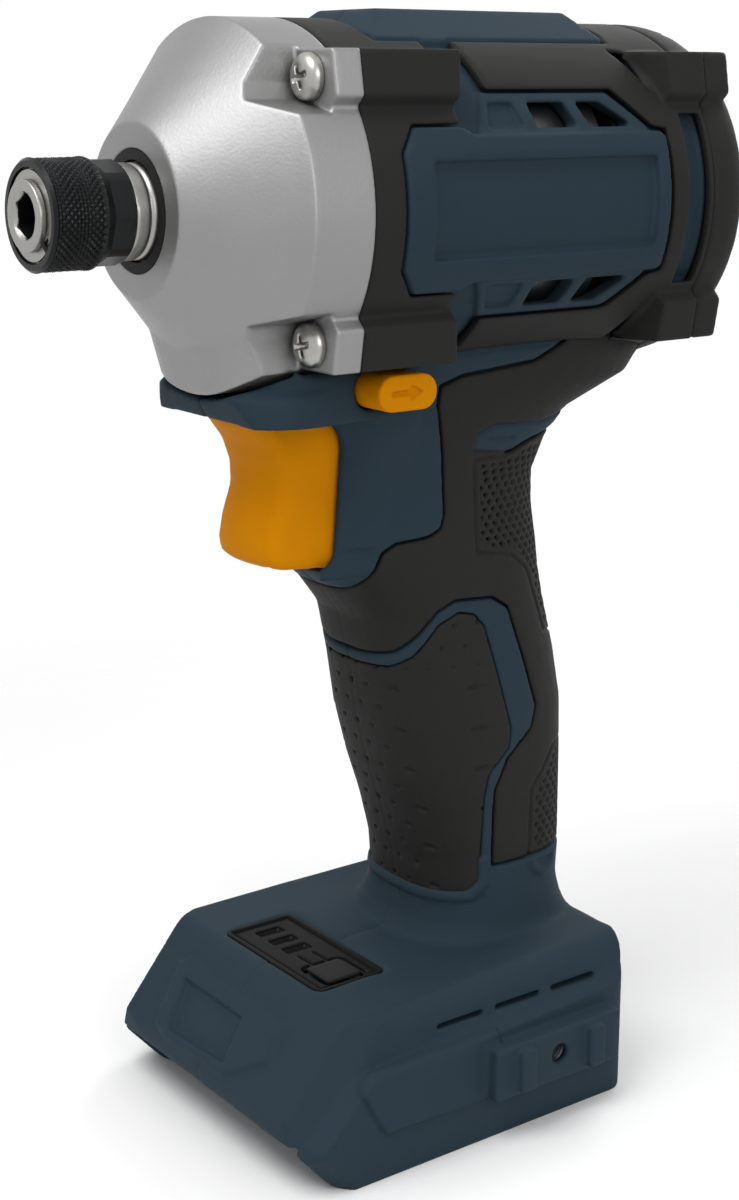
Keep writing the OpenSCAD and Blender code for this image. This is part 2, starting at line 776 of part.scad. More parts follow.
// Foot that carries the battery: side outline, plan and front view meet in one body
module foot_side() {
    rounded(foot_corner) polygon([for (p = foot_side_shares) [foot_back + p[0] * foot_length, p[1] * foot_height]]);
}
module foot_plan() {
    half = foot_width / 2;
    front = foot_back + foot_length;
    rounded(foot_corner) polygon(concat(curve([foot_back + foot_bow, half], [foot_back - foot_bow, 0],
            [foot_back + foot_bow, -half], grip_sides),
            curve([front - foot_prow, -half], [front + foot_prow, 0], [front - foot_prow, half],
                grip_sides)));
}
module foot_front() {
    shell = foot_width / 2 - ledge_step;
    crown = foot_height * foot_side_shares[6][1];
    polygon(concat([[-shell, 0], [shell, 0]],
        curve([shell, crown - shoulder_round], [shell, crown], [shell - shoulder_round, crown],
            curve_steps),
        curve([shoulder_round - shell, crown], [-shell, crown], [-shell, crown - shoulder_round],
            curve_steps)));
}
module skirt_side() {
    rounded(foot_corner) polygon([for (p = skirt_shares) [foot_back + p[0] * foot_length, p[1] * foot_height]]);
}
module foot_body() {
    intersection() {
        along_y(-reach, reach) foot_side();
        along_z(-over, reach) foot_plan();
        along_x(-reach, reach) foot_front();
    }
    intersection() {
        along_y(-reach, reach) skirt_side();
        along_z(-over, reach) foot_plan();
    }
}
// Battery bay, open below and in front, with a rail along each skirt
module bay() {
    half = foot_width / 2 - skirt_wall;
    difference() {
        block([foot_back + bay_back, -half, -over], [reach, half, bay_height]);
        for (side = [-1, 1]) block([foot_back, side < 0 ? -half - over : half - rail_reach, -reach],
            [reach, side < 0 ? rail_reach - half : half + over, rail_height]);
    }
}
module foot_cavity() {
    intersection() {
        along_y(-foot_room, foot_room) offset(delta = -foot_wall) foot_side();
        block([-reach, -reach, bay_height + foot_wall], [reach, reach, reach]);
        along_z(-over, reach) offset(delta = -foot_wall - over) foot_plan();
        along_x(-reach, reach) offset(delta = -foot_wall) foot_front();
    }
}
// Slanted plate recess on the front face of the foot
module nose_recess() {
    low = [foot_back + foot_length * foot_side_shares[3][0], foot_height * foot_side_shares[3][1]];
    high = [foot_back + foot_length * foot_side_shares[4][0], foot_height * foot_side_shares[4][1]];
    start = low + (high - low) * nose_recess_low_share / 2;
    end = low + (high - low) * nose_recess_high_share;
    along_y(-nose_recess_half, nose_recess_half) polygon([start - [nose_recess_depth, nose_recess_depth],
        end - [nose_recess_depth, nose_recess_depth], end + [over, over] * 2, start + [over, over] * 2]);
}
module vent_slots() {
    for (i = [0:vent_slot_count - 1]) {
        front = vent_slot_front - i * vent_slot_pitch;
        block([front - vent_slot_length, 0, vent_slot_z - vent_slot_height / 2],
            [front, reach, vent_slot_z + vent_slot_height / 2]);
    }
}
// Boss for the belt hook on the side of the skirt
module hook_pad() {
    face = foot_width / 2 + hook_boss;
    root = foot_width / 2 - skirt_wall;
    block([boss_back, root, boss_low], [boss_front, face, boss_high]);
    for (front = [boss_rib_front, boss_rib_back]) block([front - boss_rib, root, boss_low + over],
        [front, face + rib_proud, boss_high - over]);
}
module display_recess(grow) {
    translate([panel_x, 0, 0]) offset(r = panel_corner + grow,
        $fn = small_fn) offset(delta = -panel_corner)
        square([panel_length, panel_width], center = true);
}
// Opening for the trigger in the front of the neck, and slot for the selector
module trigger_opening() {
    block([switch_front, -trigger_half - passing, trigger_low - passing],
        [reach, trigger_half + passing, trigger_low + trigger_height + passing]);
}
module selector_outline(grow) {
    translate([selector_x, selector_z]) offset(r = selector_height / 2 - seat + grow, $fn = small_fn)
        square([selector_length - selector_height, seat * 2], center = true);
}

// Posts that carry the closing screws of the left half, and those of the right half
module screw_posts() {
    for (p = grip_screw_places) bar_y(post_radius, 0, grip_width / 2 - skin, p[0], p[1]);
    for (p = foot_screw_places) bar_y(post_radius, 0, foot_room + over, p[0], p[1]);
}
module switch_ribs() {
    for (x = [switch_front - rib_inset, switch_front - switch_length + rib_inset + rib_thick])
        block([x - rib_thick, switch_half + seat, switch_low + rib_inset],
            [x, grip_width / 2 - skin - over, switch_low + rib_inset + rib_height]);
}
module half_shell() {
    left_half() difference() {
        union() {
            difference() {
                union() {
                    barrel_form(skin);
                    grip_trimmed(skin);
                    intersection() {
                        grip_trimmed(0);
                        along_y(-over, reach) difference() {
                            union() {
                                grip_outline(neck_shares);
                                grip_outline(band_shares);
                                translate([-reach, -reach])
                                    square([reach * 2, reach + grip_z(skin_floor_share)]);
                            }
                            grip_outline(pad_shares);
                        }
                    }
                    chin_form();
                    cheek_corner();
                    foot_body();
                    front_lugs(skin);
                    rear_lugs(skin, cover_x);
                    ridge(0);
                    hook_pad();
                }
                difference() {
                    grip_half(skin + wall);
                    block([-reach, -reach, -reach], [reach, reach, bay_height + foot_wall]);
                }
                foot_cavity();
            }
            side_panel();
            intersection() {
                union() {
                    screw_posts();
                    switch_ribs();
                }
                union() {
                    grip_half(skin);
                    foot_body();
                }
            }
        }
        ring(0, bore_radius, cover_x - over, seam_x + over);
        case_room();
        bay();
        vent_cuts();
        vent_slots();
        nose_recess();
        trigger_opening();
        along_y(-over, reach) selector_outline(passing);
        along_z(foot_top - panel_thick, foot_height + over) display_recess(seat);
        translate([panel_x, button_y, bay_height + foot_wall + unit_height])
            cylinder(r = button_stem + passing, h = foot_top - bay_height - foot_wall - unit_height,
                $fn = round_fn);
        for (side = [-1, 1]) bar_x(case_shank + running, seam_x - case_screw_length, seam_x + over,
            screw_y, axis_height + side * screw_z);
        for (side = [-1, 1]) bar_x(small_shank + running, cover_x - over, cover_x + cover_screw_length,
            screw_y, axis_height + side * screw_z);
        bar_y(insert_radius, foot_width / 2 + hook_boss - insert_length, reach, hook_x, hook_z);
    }
}
// Grip loft cut off where the rear cover takes over
module grip_trimmed(inset) {
    intersection() {
        grip_half(inset);
        block([cover_x, -reach, -reach], [reach, reach, reach]);
    }
}
module housing_left() {
    color("#2f3d49") difference() {
        half_shell();
        for (p = screw_places) bar_y(small_shank + running, -over, screw_length - post_floor + over,
            p[0], p[1]);
    }
}
module screw_wells() {
    for (p = screw_places) {
        bar_y(small_shank + passing, -over, reach, p[0], p[1]);
        bar_y(small_head + passing, post_floor, reach, p[0], p[1]);
    }
}
module housing_right() {
    color("#2f3d49") right_side() difference() {
        half_shell();
        screw_wells();
    }
}

// Rubber bumpers over the front and the rear of the barrel
module barrel_skin() {
    difference() {
        union() {
            ring(barrel_radius - skin, barrel_radius, cover_x, seam_x);
            front_lugs(0);
            rear_lugs(0, cover_x);
        }
        barrel_form(skin);
        front_lugs(skin);
        rear_lugs(skin, cover_x - over);
        ridge(trim_gap);
        grip_half(0);
        chin_form();
        for (side = [-1, 1]) bar_x(case_shank + running, seam_x - case_screw_length, seam_x + over,
            screw_y, axis_height + side * screw_z);
    }
}
module front_bumper_left() {
    color("#2d2d2c") left_half() intersection() {
        barrel_skin();
        along_y(-over, reach) difference() {
            barrel_outline(front_bumper_shares);
            offset(delta = trim_gap) panel_outline();
        }
    }
}
module rear_bumper_left() {
    color("#2d2d2c") left_half() intersection() {
        barrel_skin();
        along_y(-over, reach) difference() {
            barrel_outline(rear_bumper_shares);
            barrel_outline(rear_slot_shares);
            offset(delta = trim_gap) barrel_outline(vent_frame_shares);
            offset(delta = trim_gap) barrel_outline(below(vent_frame_shares));
        }
    }
}
module front_bumper_right() {
    right_side() front_bumper_left();
}
module rear_bumper_right() {
    right_side() rear_bumper_left();
}

// Rubber skin of the grip, and the dimpled palm pad inside its blue band
module grip_rubber() {
    difference() {
        grip_trimmed(0);
        grip_half(skin);
        barrel_form(skin);
    }
}
module grip_skin_left() {
    color("#2d2d2c") left_half() intersection() {
        difference() {
            grip_rubber();
            chin_form();
            rear_lugs(skin, cover_x);
        }
        along_y(-over, reach) difference() {
            translate([-reach, grip_z(skin_floor_share)]) square(reach * 2);
            offset(delta = trim_gap) grip_outline(neck_shares);
            offset(delta = trim_gap) grip_outline(band_shares);
        }
    }
}
module grip_pad_left() {
    color("#2d2d2c") left_half() intersection() {
        grip_rubber();
        along_y(-over, reach) offset(delta = -trim_gap) grip_outline(pad_shares);
    }
}
module grip_skin_right() {
    color("#2d2d2c") right_side() difference() {
        grip_skin_left();
        screw_wells();
    }
}
module grip_pad_right() {
    right_side() grip_pad_left();
}

// Rear cover with its bearing seat and the back of the neck
module rear_cover() {
    inner = bore_radius;
    floor_x = tail_x + wall;
    color("#2d2d2c") difference() {
        union() {
            turned() polygon(concat([[0, cover_x], [barrel_radius, cover_x]],
                curve([barrel_radius, cover_x - cover_length * cover_straight_share], [barrel_radius,
                    tail_x],
                    [barrel_radius - cover_length / 2, tail_x], curve_steps), [[0, tail_x]]));
            for (side = [-1, 1]) mirror([0, side < 0 ? 1 : 0, 0]) {
                lug_pair(cover_x - cover_lug, cover_x, 0);
                intersection() {
                    grip_half(0);
                    block([tail_x, 0, -reach], [cover_x, reach, axis_height]);
                }
            }
        }
        difference() {
            ring(0, inner, floor_x, cover_x + over);
            ring(0, bearing_radius + wall, tail_x, rear_bearing_front);
        }
        ring(0, bearing_radius + running, rear_bearing_back, cover_x + over);
        ring(0, shaft_radius + passing, shaft_back - thrust_gap, cover_x + over);
        for (y = [-1, 1]) for (z = [-1, 1]) {
            bar_x(small_shank + running, tail_x - over, cover_x + over, y * screw_y,
                axis_height + z * screw_z);
            bar_x(small_head + passing, tail_x - over, cover_x - cover_lug + cover_recess,
                y * screw_y, axis_height + z * screw_z);
        }
    }
}
module pan_screw(head, head_height, shank, length) {
    rotate([0, 90, 0]) {
        translate([0, 0, -length]) cylinder(r = shank, h = length, $fn = round_fn);
        difference() {
            rotate_extrude($fn = round_fn) polygon(concat([[0, 0]], [[head, 0]],
                curve([head, head_height * head_share], [head * head_round_share, head_height],
                    [head * head_share, head_height], curve_steps),
                [[0, head_height]]));
            for (turn = [0, 90]) rotate([0, 0, turn]) translate([-head / 2, -cross_width / 2,
                head_height - cross_depth])
                cube([head, cross_width, cross_depth + over]);
        }
    }
}
module cover_screws() {
    seat_x = cover_x - cover_lug + cover_recess;
    color("#9a9c9e") for (y = [-1, 1]) for (z = [-1, 1])
        translate([seat_x, y * screw_y, axis_height + z * screw_z]) mirror([1, 0, 0])
            pan_screw(small_head, small_head_height, small_shank,
                cover_screw_length - cover_lug + cover_recess);
}
module housing_screws() {
    color("#9a9c9e") for (p = screw_places) translate([p[0], -post_floor, p[1]]) rotate([0, 0, -90])
        pan_screw(small_head, small_head_height, small_shank, screw_length - over);
}

// Cast hammer case with its lugs, belly and the spigot that plugs into the barrel
module case_outside() {
    turned() polygon(concat([[0, seam_x], [barrel_radius, seam_x]],
        curve([barrel_radius, shoulder_x], [barrel_radius - case_swell, shoulder_x + case_rise],
            [nose_radius, nose_x], curve_steps), [[0, nose_x]]));
    for (y = [0, 1]) mirror([0, y, 0]) lug_pair(seam_x, shoulder_x, 0);
    intersection() {
        ring(0, barrel_radius, seam_x, tip_x);
        translate([seam_x, 0, axis_height]) rotate([0, chin_slope, 0]) translate([-seam_x, 0,
            -axis_height])
            along_z(axis_height - barrel_radius - over, axis_height) rounded(chin_corner)
            polygon(both_sides([[seam_x - chin_back, belly_half],
                [seam_x + belly_reach + belly_lead, belly_half]]));
        block([seam_x, -reach, -reach], [reach, reach, axis_height]);
    }
}
module hammer_case() {
    floor_x = seam_x + pocket_floor;
    color("#b4b5b6") difference() {
        union() {
            case_outside();
            ring(ring_outer, spigot_radius, plate_front + seat, seam_x + over);
        }
        ring(0, seal_outer, bush_back - over, nose_x + over);
        ring(0, cavity_radius, flange_back - over, bush_back);
        ring(0, ring_outer + seat, plate_front - over, flange_back);
        for (y = [0, 1]) mirror([0, y, 0]) for (z = [-1, 1]) {
            along_x(floor_x, reach) polygon([for (p = pocket_shares) [p[0] * barrel_radius,
                axis_height + z * p[1] * barrel_radius]]);
            bar_x(case_shank + running, seam_x - over, floor_x + over, screw_y,
                axis_height + z * screw_z);
        }
    }
}
module case_screws() {
    color("#c9cacb") for (y = [-1, 1]) for (z = [-1, 1])
        translate([seam_x + pocket_floor, y * screw_y, axis_height + z * screw_z])
            pan_screw(case_head, case_head_height, case_shank, case_screw_length);
}
module nose_seal() {
    color("#1c1c1c") ring(collar_radius + passing, seal_outer, bush_front + seat, nose_x);
}
module anvil_bush() {
    color("#a8854a") ring(collar_radius + running, seal_outer, bush_back, bush_front);
}

// Anvil: hex socket, spindle, journal and two jaws
module anvil() {
    jaw_radius = hammer_radius - jaw_inset;
    hex = socket_flats / 2 / cos(hex_half_angle);
    color("#b9babb") difference() {
        union() {
            ring(0, spindle_radius, sleeve_back, tip_x);
            ring(0, collar_radius, jaw_back, sleeve_back);
            intersection() {
                ring(0, jaw_radius, jaw_back, jaw_front);
                block([-reach, -jaw_radius, axis_height - collar_radius],
                    [reach, jaw_radius, axis_height + collar_radius]);
            }
        }
        translate([tip_x - socket_depth, 0, axis_height]) rotate([0, 90, 0])
            cylinder(r = hex, h = socket_depth + over, $fn = 6);
        ring(snap_inner, spindle_radius + over, snap_back, snap_front);
        ring(0, pilot_radius + running, jaw_back - over, jaw_back + pilot_length + thrust_gap);
        for (side = [-1, 1]) bar_y(ball_radius + running, side < 0 ? -spindle_radius - over : 0,
            side < 0 ? 0 : spindle_radius + over, ball_x, axis_height);
    }
}

// Knurled sleeve that locks the bit and pulls forward to let it go
module chuck_sleeve() {
    color("#232323") turned() polygon([[sleeve_bore, sleeve_front], [sleeve_radius - sleeve_chamfer,
        sleeve_front],
        [sleeve_radius, sleeve_front - sleeve_chamfer], [sleeve_radius, sleeve_front - sleeve_knurl],
        [sleeve_waist, sleeve_front - sleeve_knurl - sleeve_cone], [sleeve_waist, sleeve_back],
        [sleeve_bore, sleeve_back], [sleeve_bore, step_back], [spindle_radius + running, step_back],
        [spindle_radius + running, step_front], [sleeve_bore, step_front]]);
}
module sleeve_spring() {
    color("#8f9193") translate([0, 0, axis_height])
        coil((sleeve_bore + spindle_radius) / 2, sleeve_wire, step_front + seat, washer_back - seat,
            sleeve_turns);
}
module spring_washer() {
    color("#8f9193") ring(spindle_radius + running, sleeve_bore - running, washer_back, snap_back);
}
// Open snap ring in its groove
module snap_ring() {
    color("#c4c5c6") difference() {
        ring(snap_inner + seat, snap_outer, snap_back + running, snap_front - running);
        translate([0, 0, axis_height]) rotate([snap_turn, 0, 0])
            block([-reach, 0, -snap_gap / 2], [reach, reach, snap_gap / 2]);
    }
}
module detent_balls() {
    color("#c9cacb") for (side = [-1, 1]) translate([ball_x, side * ball_orbit, axis_height])
        sphere(r = ball_radius, $fn = small_fn);
}

// Hammer with two jaws, a spring pocket and grooves for the cam balls
module hammer() {
    jaw_inner = collar_radius + passing * 2;
    groove_front = cam_ball_x + hammer_travel;
    color("#6d6f72") difference() {
        union() {
            ring(0, hammer_radius, hammer_back, hammer_front);
            intersection() {
                ring(jaw_inner, hammer_radius, hammer_front - over, jaw_front - thrust_gap);
                block([-reach, -collar_radius, -reach], [reach, collar_radius, reach]);
                difference() {
                    ring(0, reach, hammer_front - over, jaw_front);
                    block([-reach, -reach, axis_height - jaw_inner], [reach, reach,
                        axis_height + jaw_inner]);
                }
            }
        }
        ring(0, cam_radius + running, hammer_back - over, hammer_front + over);
        ring(spring_mean - hammer_wire - passing, spring_mean + hammer_wire, hammer_back - over,
            spring_floor);
        for (side = [-1, 1]) {
            bar_x(cam_ball_radius + passing, cam_ball_x, groove_front, 0,
                axis_height + side * cam_radius);
            for (x = [cam_ball_x, groove_front]) translate([x, 0, axis_height + side * cam_radius])
                sphere(r = cam_ball_radius + passing, $fn = small_fn);
        }
    }
}
module hammer_spring() {
    color("#7a7c80") translate([0, 0, axis_height])
        coil(spring_mean, hammer_wire, flange_front + seat, spring_floor - seat, hammer_turns);
}
// Cam shaft in one piece with the planet carrier
module cam_shaft() {
    color("#8b8d90") difference() {
        union() {
            ring(0, cam_radius, flange_front - over, jaw_back - thrust_gap);
            ring(0, pilot_radius, jaw_back - over, jaw_back + pilot_length);
            ring(0, carrier_radius, flange_back, flange_front);
            ring(0, carrier_radius, disc_back, disc_front);
            ring(0, carrier_boss, plate_front - carrier_bearing_length, disc_front);
            for (i = [0:planet_count - 1]) rotate_planet(i + 1 / 2)
                block([disc_back, -bridge_half, axis_height + sun_pitch + tooth_module + bridge_gap],
                    [flange_front, bridge_half, axis_height + carrier_radius - bridge_gap]);
        }
        ring(0, carrier_bore, plate_front - carrier_bearing_length - over, flange_back + carrier_pit);
        for (i = [0:planet_count - 1]) rotate_planet(i)
            bar_x(pin_radius + running, disc_back - over, flange_front + over, 0,
                axis_height + orbit_radius);
        for (side = [-1, 1]) translate([cam_ball_x, 0, axis_height + side * cam_radius])
            sphere(r = cam_ball_radius + running, $fn = small_fn);
    }
}
// Turn a form about the drive axis to the place of one planet
module rotate_planet(i) {
    translate([0, 0, axis_height]) rotate([360 * i / planet_count, 0, 0]) translate([0, 0,
        -axis_height]) children();
}
module cam_balls() {
    color("#c9cacb") for (side = [-1, 1]) translate([cam_ball_x, 0, axis_height + side * cam_radius])
        sphere(r = cam_ball_radius, $fn = small_fn);
}
module planet_pins() {
    color("#c9cacb") for (i = [0:planet_count - 1]) rotate_planet(i)
        bar_x(pin_radius, disc_back, flange_front, 0, axis_height + orbit_radius);
}
// Outline of a gear: flat topped teeth between a root circle and a tip circle
module gear_outline(teeth, root, tip) {
    polygon([for (i = [0:teeth - 1]) for (k = [[root, -tooth_root_share], [tip, -tooth_top_share],
        [tip, tooth_top_share], [root, tooth_root_share]])
        let (a = 360 * (i + k[1]) / teeth) [k[0] * cos(a), k[0] * sin(a)]]);
}
module planet_gear(i) {
    color("#9d9fa2") rotate_planet(i) translate([0, 0, axis_height + orbit_radius]) difference() {
        along_x(planet_back, planet_front)
            gear_outline(planet_teeth, planet_pitch - tooth_depth, planet_pitch - mesh_gap);
        bar_x(pin_radius + running, planet_back - over, planet_front + over, 0, 0);
    }
}
module planet_gear_1() {
    planet_gear(0);
}
module planet_gear_2() {
    planet_gear(1);
}
module planet_gear_3() {
    planet_gear(2);
}
module ring_gear() {
    color("#85878a") difference() {
        ring(0, ring_outer, disc_back, flange_back - seat);
        translate([0, 0, axis_height]) along_x(disc_back - over, flange_back + over)
            gear_outline(ring_teeth, ring_pitch + mesh_gap, ring_pitch + tooth_depth);
        ring(0, carrier_radius + passing, disc_back - over, flange_back + over);
    }
}
// Plate between gears and motor, which carries two bearings
module gear_plate() {
    color("#3a3d40") difference() {
        union() {
            ring(0, spigot_radius, plate_back, plate_front);
            ring(0, bearing_radius + wall, front_bearing_back, plate_front);
        }
        ring(0, carrier_bearing_radius + running, plate_front - carrier_bearing_length,
            plate_front + over);
        ring(0, bearing_radius - bearing_web, front_bearing_back - over, plate_front + over);
        ring(0, bearing_radius + running, front_bearing_back - over, front_bearing_front);
    }
}
module bearing(inner, outer, from, to) {
    difference() {
        ring(inner, outer, from, to);
        for (end = [from, to]) ring(inner + (outer - inner) * bearing_race_share,
            outer - (outer - inner) * bearing_race_share,
            end - bearing_dish, end + bearing_dish);
    }
}
module carrier_bearing() {
    color("#b9babb") bearing(carrier_boss + running, carrier_bearing_radius,
        plate_front - carrier_bearing_length, plate_front);
}
module front_bearing() {
    color("#b9babb") bearing(shaft_radius + running, bearing_radius, front_bearing_back,
        front_bearing_front);
}
module rear_bearing() {
    color("#b9babb") bearing(shaft_radius + running, bearing_radius, rear_bearing_back,
        rear_bearing_front);
}
// Motor shaft with the pinion on its front end
module rotor_shaft() {
    color("#a5a7a9") union() {
        ring(0, shaft_radius, shaft_back, planet_front);
        translate([0, 0, axis_height]) along_x(planet_back, planet_front)
            gear_outline(sun_teeth, sun_pitch - tooth_depth, sun_pitch - mesh_gap);
    }
}
module rotor_core() {
    color("#4b4d50") difference() {
        ring(shaft_radius + seat, rotor_radius, stator_back, stator_front);
        for (i = [0:magnet_count - 1]) translate([0, 0, axis_height]) rotate([360 * i / magnet_count,
            0, 0])
            block([stator_back - over, -magnet_half, rotor_radius - magnet_inset - magnet_depth],
                [stator_front + over, magnet_half, rotor_radius - magnet_inset]);
    }
}
module fan() {
    color("#26282a") union() {
        ring(shaft_radius + seat, fan_hub, fan_back, fan_front);
        ring(fan_hub - over, fan_radius, fan_front - fan_disc, fan_front);
        for (i = [0:fan_blades - 1]) translate([0, 0, axis_height]) rotate([360 * i / fan_blades, 0, 0])
            block([fan_back, -fan_blade / 2, fan_hub - over], [fan_front - over, fan_blade / 2,
                fan_radius - fan_rim]);
    }
}
module stator_core() {
    bore = rotor_radius + air_gap;
    color("#5a5c5e") union() {
        ring(spigot_radius - yoke, spigot_radius, stator_back, stator_front);
        for (i = [0:slot_count - 1]) translate([0, 0, axis_height]) rotate([360 * i / slot_count, 0, 0])
            difference() {
                union() {
                    block([stator_back, -tooth_half, bore - over], [stator_front, tooth_half,
                        spigot_radius - yoke + over]);
                    block([stator_back, -shoe_half, bore - over], [stator_front, shoe_half, bore + shoe]);
                }
                bar_x(bore, stator_back - over, stator_front + over, 0, 0);
            }
    }
}
// Windings round each stator tooth
module stator_coils() {
    low = rotor_radius + air_gap + shoe + coil_clear;
    high = spigot_radius - yoke - coil_rise;
    wide = tooth_half + coil_clear;
    color("#9c5a2c") for (i = [0:slot_count - 1]) translate([0, 0, axis_height])
        rotate([360 * i / slot_count, 0, 0]) difference() {
            block([stator_back - coil_overhang, -wide - coil_thick, low],
                [stator_front + coil_overhang, wide + coil_thick, high]);
            block([stator_back - coil_clear, -wide, low - over], [stator_front + coil_clear, wide,
                high + over]);
        }
}
module sensor_board() {
    color("#2f6b3c") ring(rotor_radius + over, spigot_radius, board_back, board_front);
}

// Trigger with a hollow, rounded front, then its plunger and return spring
module trigger_form() {
    last = len(trigger_shares) - 1;
    count = trigger_sides + 3;
    points = [for (p = trigger_shares) let (z = trigger_low + p[0] * trigger_height,
        root = trigger_back + p[1] * trigger_depth - trigger_round)
        each concat([[trigger_back, -trigger_half, z]],
            [for (k = [0:trigger_sides]) let (a = 180 * k / trigger_sides - 90)
                [root + trigger_round * swell(cos(a)), trigger_half * swell(sin(a)), z]],
            [[trigger_back, trigger_half, z]])];
    walls = [for (i = [0:last - 1]) for (k = [0:count - 1]) let (n = (k + 1) % count)
        each [[i * count + k, (i + 1) * count + n, i * count + n],
            [i * count + k, (i + 1) * count + k, (i + 1) * count + n]]];
    polyhedron(points, concat(walls, [[for (k = [0:count - 1]) k]],
        [[for (k = [count - 1:-1:0]) last * count + k]]));
}
module trigger() {
    color("#c98200") difference() {
        trigger_form();
        bar_x(spring_pocket, trigger_back - over, trigger_back + pocket_depth, 0,
            trigger_low + trigger_height / 2);
    }
}
module trigger_plunger() {
    color("#3a3d40") bar_x(plunger_radius, trigger_back + pocket_depth - plunger_length,
        trigger_back + pocket_depth,
        0, trigger_low + trigger_height / 2);
}
module trigger_spring() {
    color("#8f9193") translate([0, 0, trigger_low + trigger_height / 2])
        coil((plunger_radius + spring_pocket) / 2, trigger_wire, switch_front + seat,
            trigger_back + pocket_depth - seat, trigger_turns);
}
module switch_body() {
    back = switch_front - switch_length;
    color("#232527") difference() {
        block([back, -switch_half, switch_low], [switch_front, switch_half, switch_low + switch_height]);
        bar_x(plunger_radius + running, back + rib_thick, switch_front + over, 0,
            trigger_low + trigger_height / 2);
    }
}
// Direction selector with an arrow sunk in each end
module arrow() {
    polygon([[arrow_length / 2, -arrow_width / 2], [arrow_length / 2, arrow_width / 2],
        [arrow_head - arrow_length / 2, arrow_width / 2], [arrow_head - arrow_length / 2, arrow_head / 2],
        [-arrow_length / 2, 0], [arrow_head - arrow_length / 2, -arrow_head / 2],
        [arrow_head - arrow_length / 2, -arrow_width / 2]]);
}
module selector() {
    color("#c98200") difference() {
        along_y(-selector_face, selector_face) selector_outline(0);
        along_y(selector_face - arrow_depth, selector_face + over) translate([selector_x,
            selector_z]) arrow();
        along_y(-selector_face - over, arrow_depth - selector_face) translate([selector_x, selector_z])
            mirror([1, 0]) arrow();
    }
}

// Display panel with lamp slots, and the mode button in it
module display_panel() {
    color("#232323") difference() {
        along_z(foot_top - panel_thick, foot_top + panel_lift) display_recess(0);
        for (i = [0:lamp_count - 1]) block([panel_x - lamp_length / 2,
            lamp_y + i * lamp_pitch - lamp_width / 2,
            foot_top - lamp_width], [panel_x + lamp_length / 2,
                lamp_y + i * lamp_pitch + lamp_width / 2, reach]);
        along_z(foot_top - reach, reach) button_outline(passing);
    }
}
module button_outline(grow) {
    translate([panel_x, button_y]) offset(r = button_corner + grow, $fn = small_fn)
        square([button_length - button_corner * 2, button_width - button_corner * 2], center = true);
}
module mode_button() {
    color("#2b2b2b") union() {
        along_z(foot_top - panel_thick + button_travel + seat,
            foot_top + panel_lift * 2) button_outline(0);
        translate([panel_x, button_y, bay_height + foot_wall + unit_height + button_travel + seat])
            cylinder(r = button_stem,
                h = foot_top - bay_height - foot_wall - unit_height - panel_thick, $fn = round_fn);
    }
}

// Control unit on the floor of the foot, terminal block and blades in the bay
module control_unit() {
    floor_z = bay_height + foot_wall;
    color("#2a2d30") block([unit_back, -unit_half, floor_z], [unit_back + unit_length, unit_half,
        floor_z + unit_height]);
}
module terminal_block() {
    back = foot_back + bay_back;
    color("#1f2022") difference() {
        block([back, -block_half, bay_height - block_drop], [back + block_length, block_half,
            bay_height]);
        blade_boxes(seat / 2);
    }
}
module blade_boxes(grow) {
    front = foot_back + bay_back + block_length;
    middle = bay_height - block_drop / 2;
    for (p = blade_places_share) block([front - blade_seat - grow,
        p * block_half - blade_thick / 2 - grow,
        middle - blade_height / 2 - grow], [front + blade_reach, p * block_half + blade_thick / 2 + grow,
        middle + blade_height / 2 + grow]);
}
module terminal_blades() {
    color("#b08d4a") blade_boxes(0);
}
module hook_inserts() {
    face = foot_width / 2 + hook_boss;
    color("#b08d4a") for (side = [0, 1]) mirror([0, side, 0]) difference() {
        bar_y(insert_radius - running, face - insert_length, face, hook_x, hook_z);
        bar_y(hook_hole, face - insert_length - over, face + over, hook_x, hook_z);
    }
}
// Leads swept along their route, three side by side
module motor_leads() {
    lead_route = [for (p = lead_shares) on_grip(p)];
    last = len(lead_route) - 1;
    color("#8a2a22") for (place = [-1, 0, 1]) {
        points = [for (i = [0:last]) let (p = lead_route[i], a = lead_route[max(i - 1, 0)],
            b = lead_route[min(i + 1, last)], d = (b - a) / norm(b - a))
            for (k = [0:lead_sides - 1]) let (t = 360 * k / lead_sides)
            [p[0] - d[1] * cos(t) * lead_radius, place * lead_pitch + sin(t) * lead_radius,
                p[1] + d[0] * cos(t) * lead_radius]];
        walls = [for (i = [0:last - 1]) for (k = [0:lead_sides - 1]) let (n = (k + 1) % lead_sides)
            each [[i * lead_sides + k, (i + 1) * lead_sides + n, i * lead_sides + n],
                [i * lead_sides + k, (i + 1) * lead_sides + k, (i + 1) * lead_sides + n]]];
        polyhedron(points, concat(walls, [[for (k = [0:lead_sides - 1]) k]],
            [[for (k = [lead_sides - 1:-1:0]) last * lead_sides + k]]));
    }
}

housing_left();
housing_right();
front_bumper_left();
front_bumper_right();
rear_bumper_left();
rear_bumper_right();
grip_skin_left();
grip_skin_right();
grip_pad_left();
grip_pad_right();
rear_cover();
cover_screws();
housing_screws();
hammer_case();
case_screws();
nose_seal();
anvil_bush();
anvil();
chuck_sleeve();
sleeve_spring();
spring_washer();
snap_ring();
detent_balls();
hammer();
hammer_spring();
cam_shaft();
cam_balls();
planet_pins();
planet_gear_1();
planet_gear_2();
planet_gear_3();
ring_gear();
gear_plate();
carrier_bearing();
rotor_shaft();
rotor_core();
front_bearing();
rear_bearing();
fan();
stator_core();
stator_coils();
sensor_board();
trigger();
trigger_plunger();
trigger_spring();
switch_body();
selector();
display_panel();
mode_button();
control_unit();
terminal_block();
terminal_blades();
hook_inserts();
motor_leads();
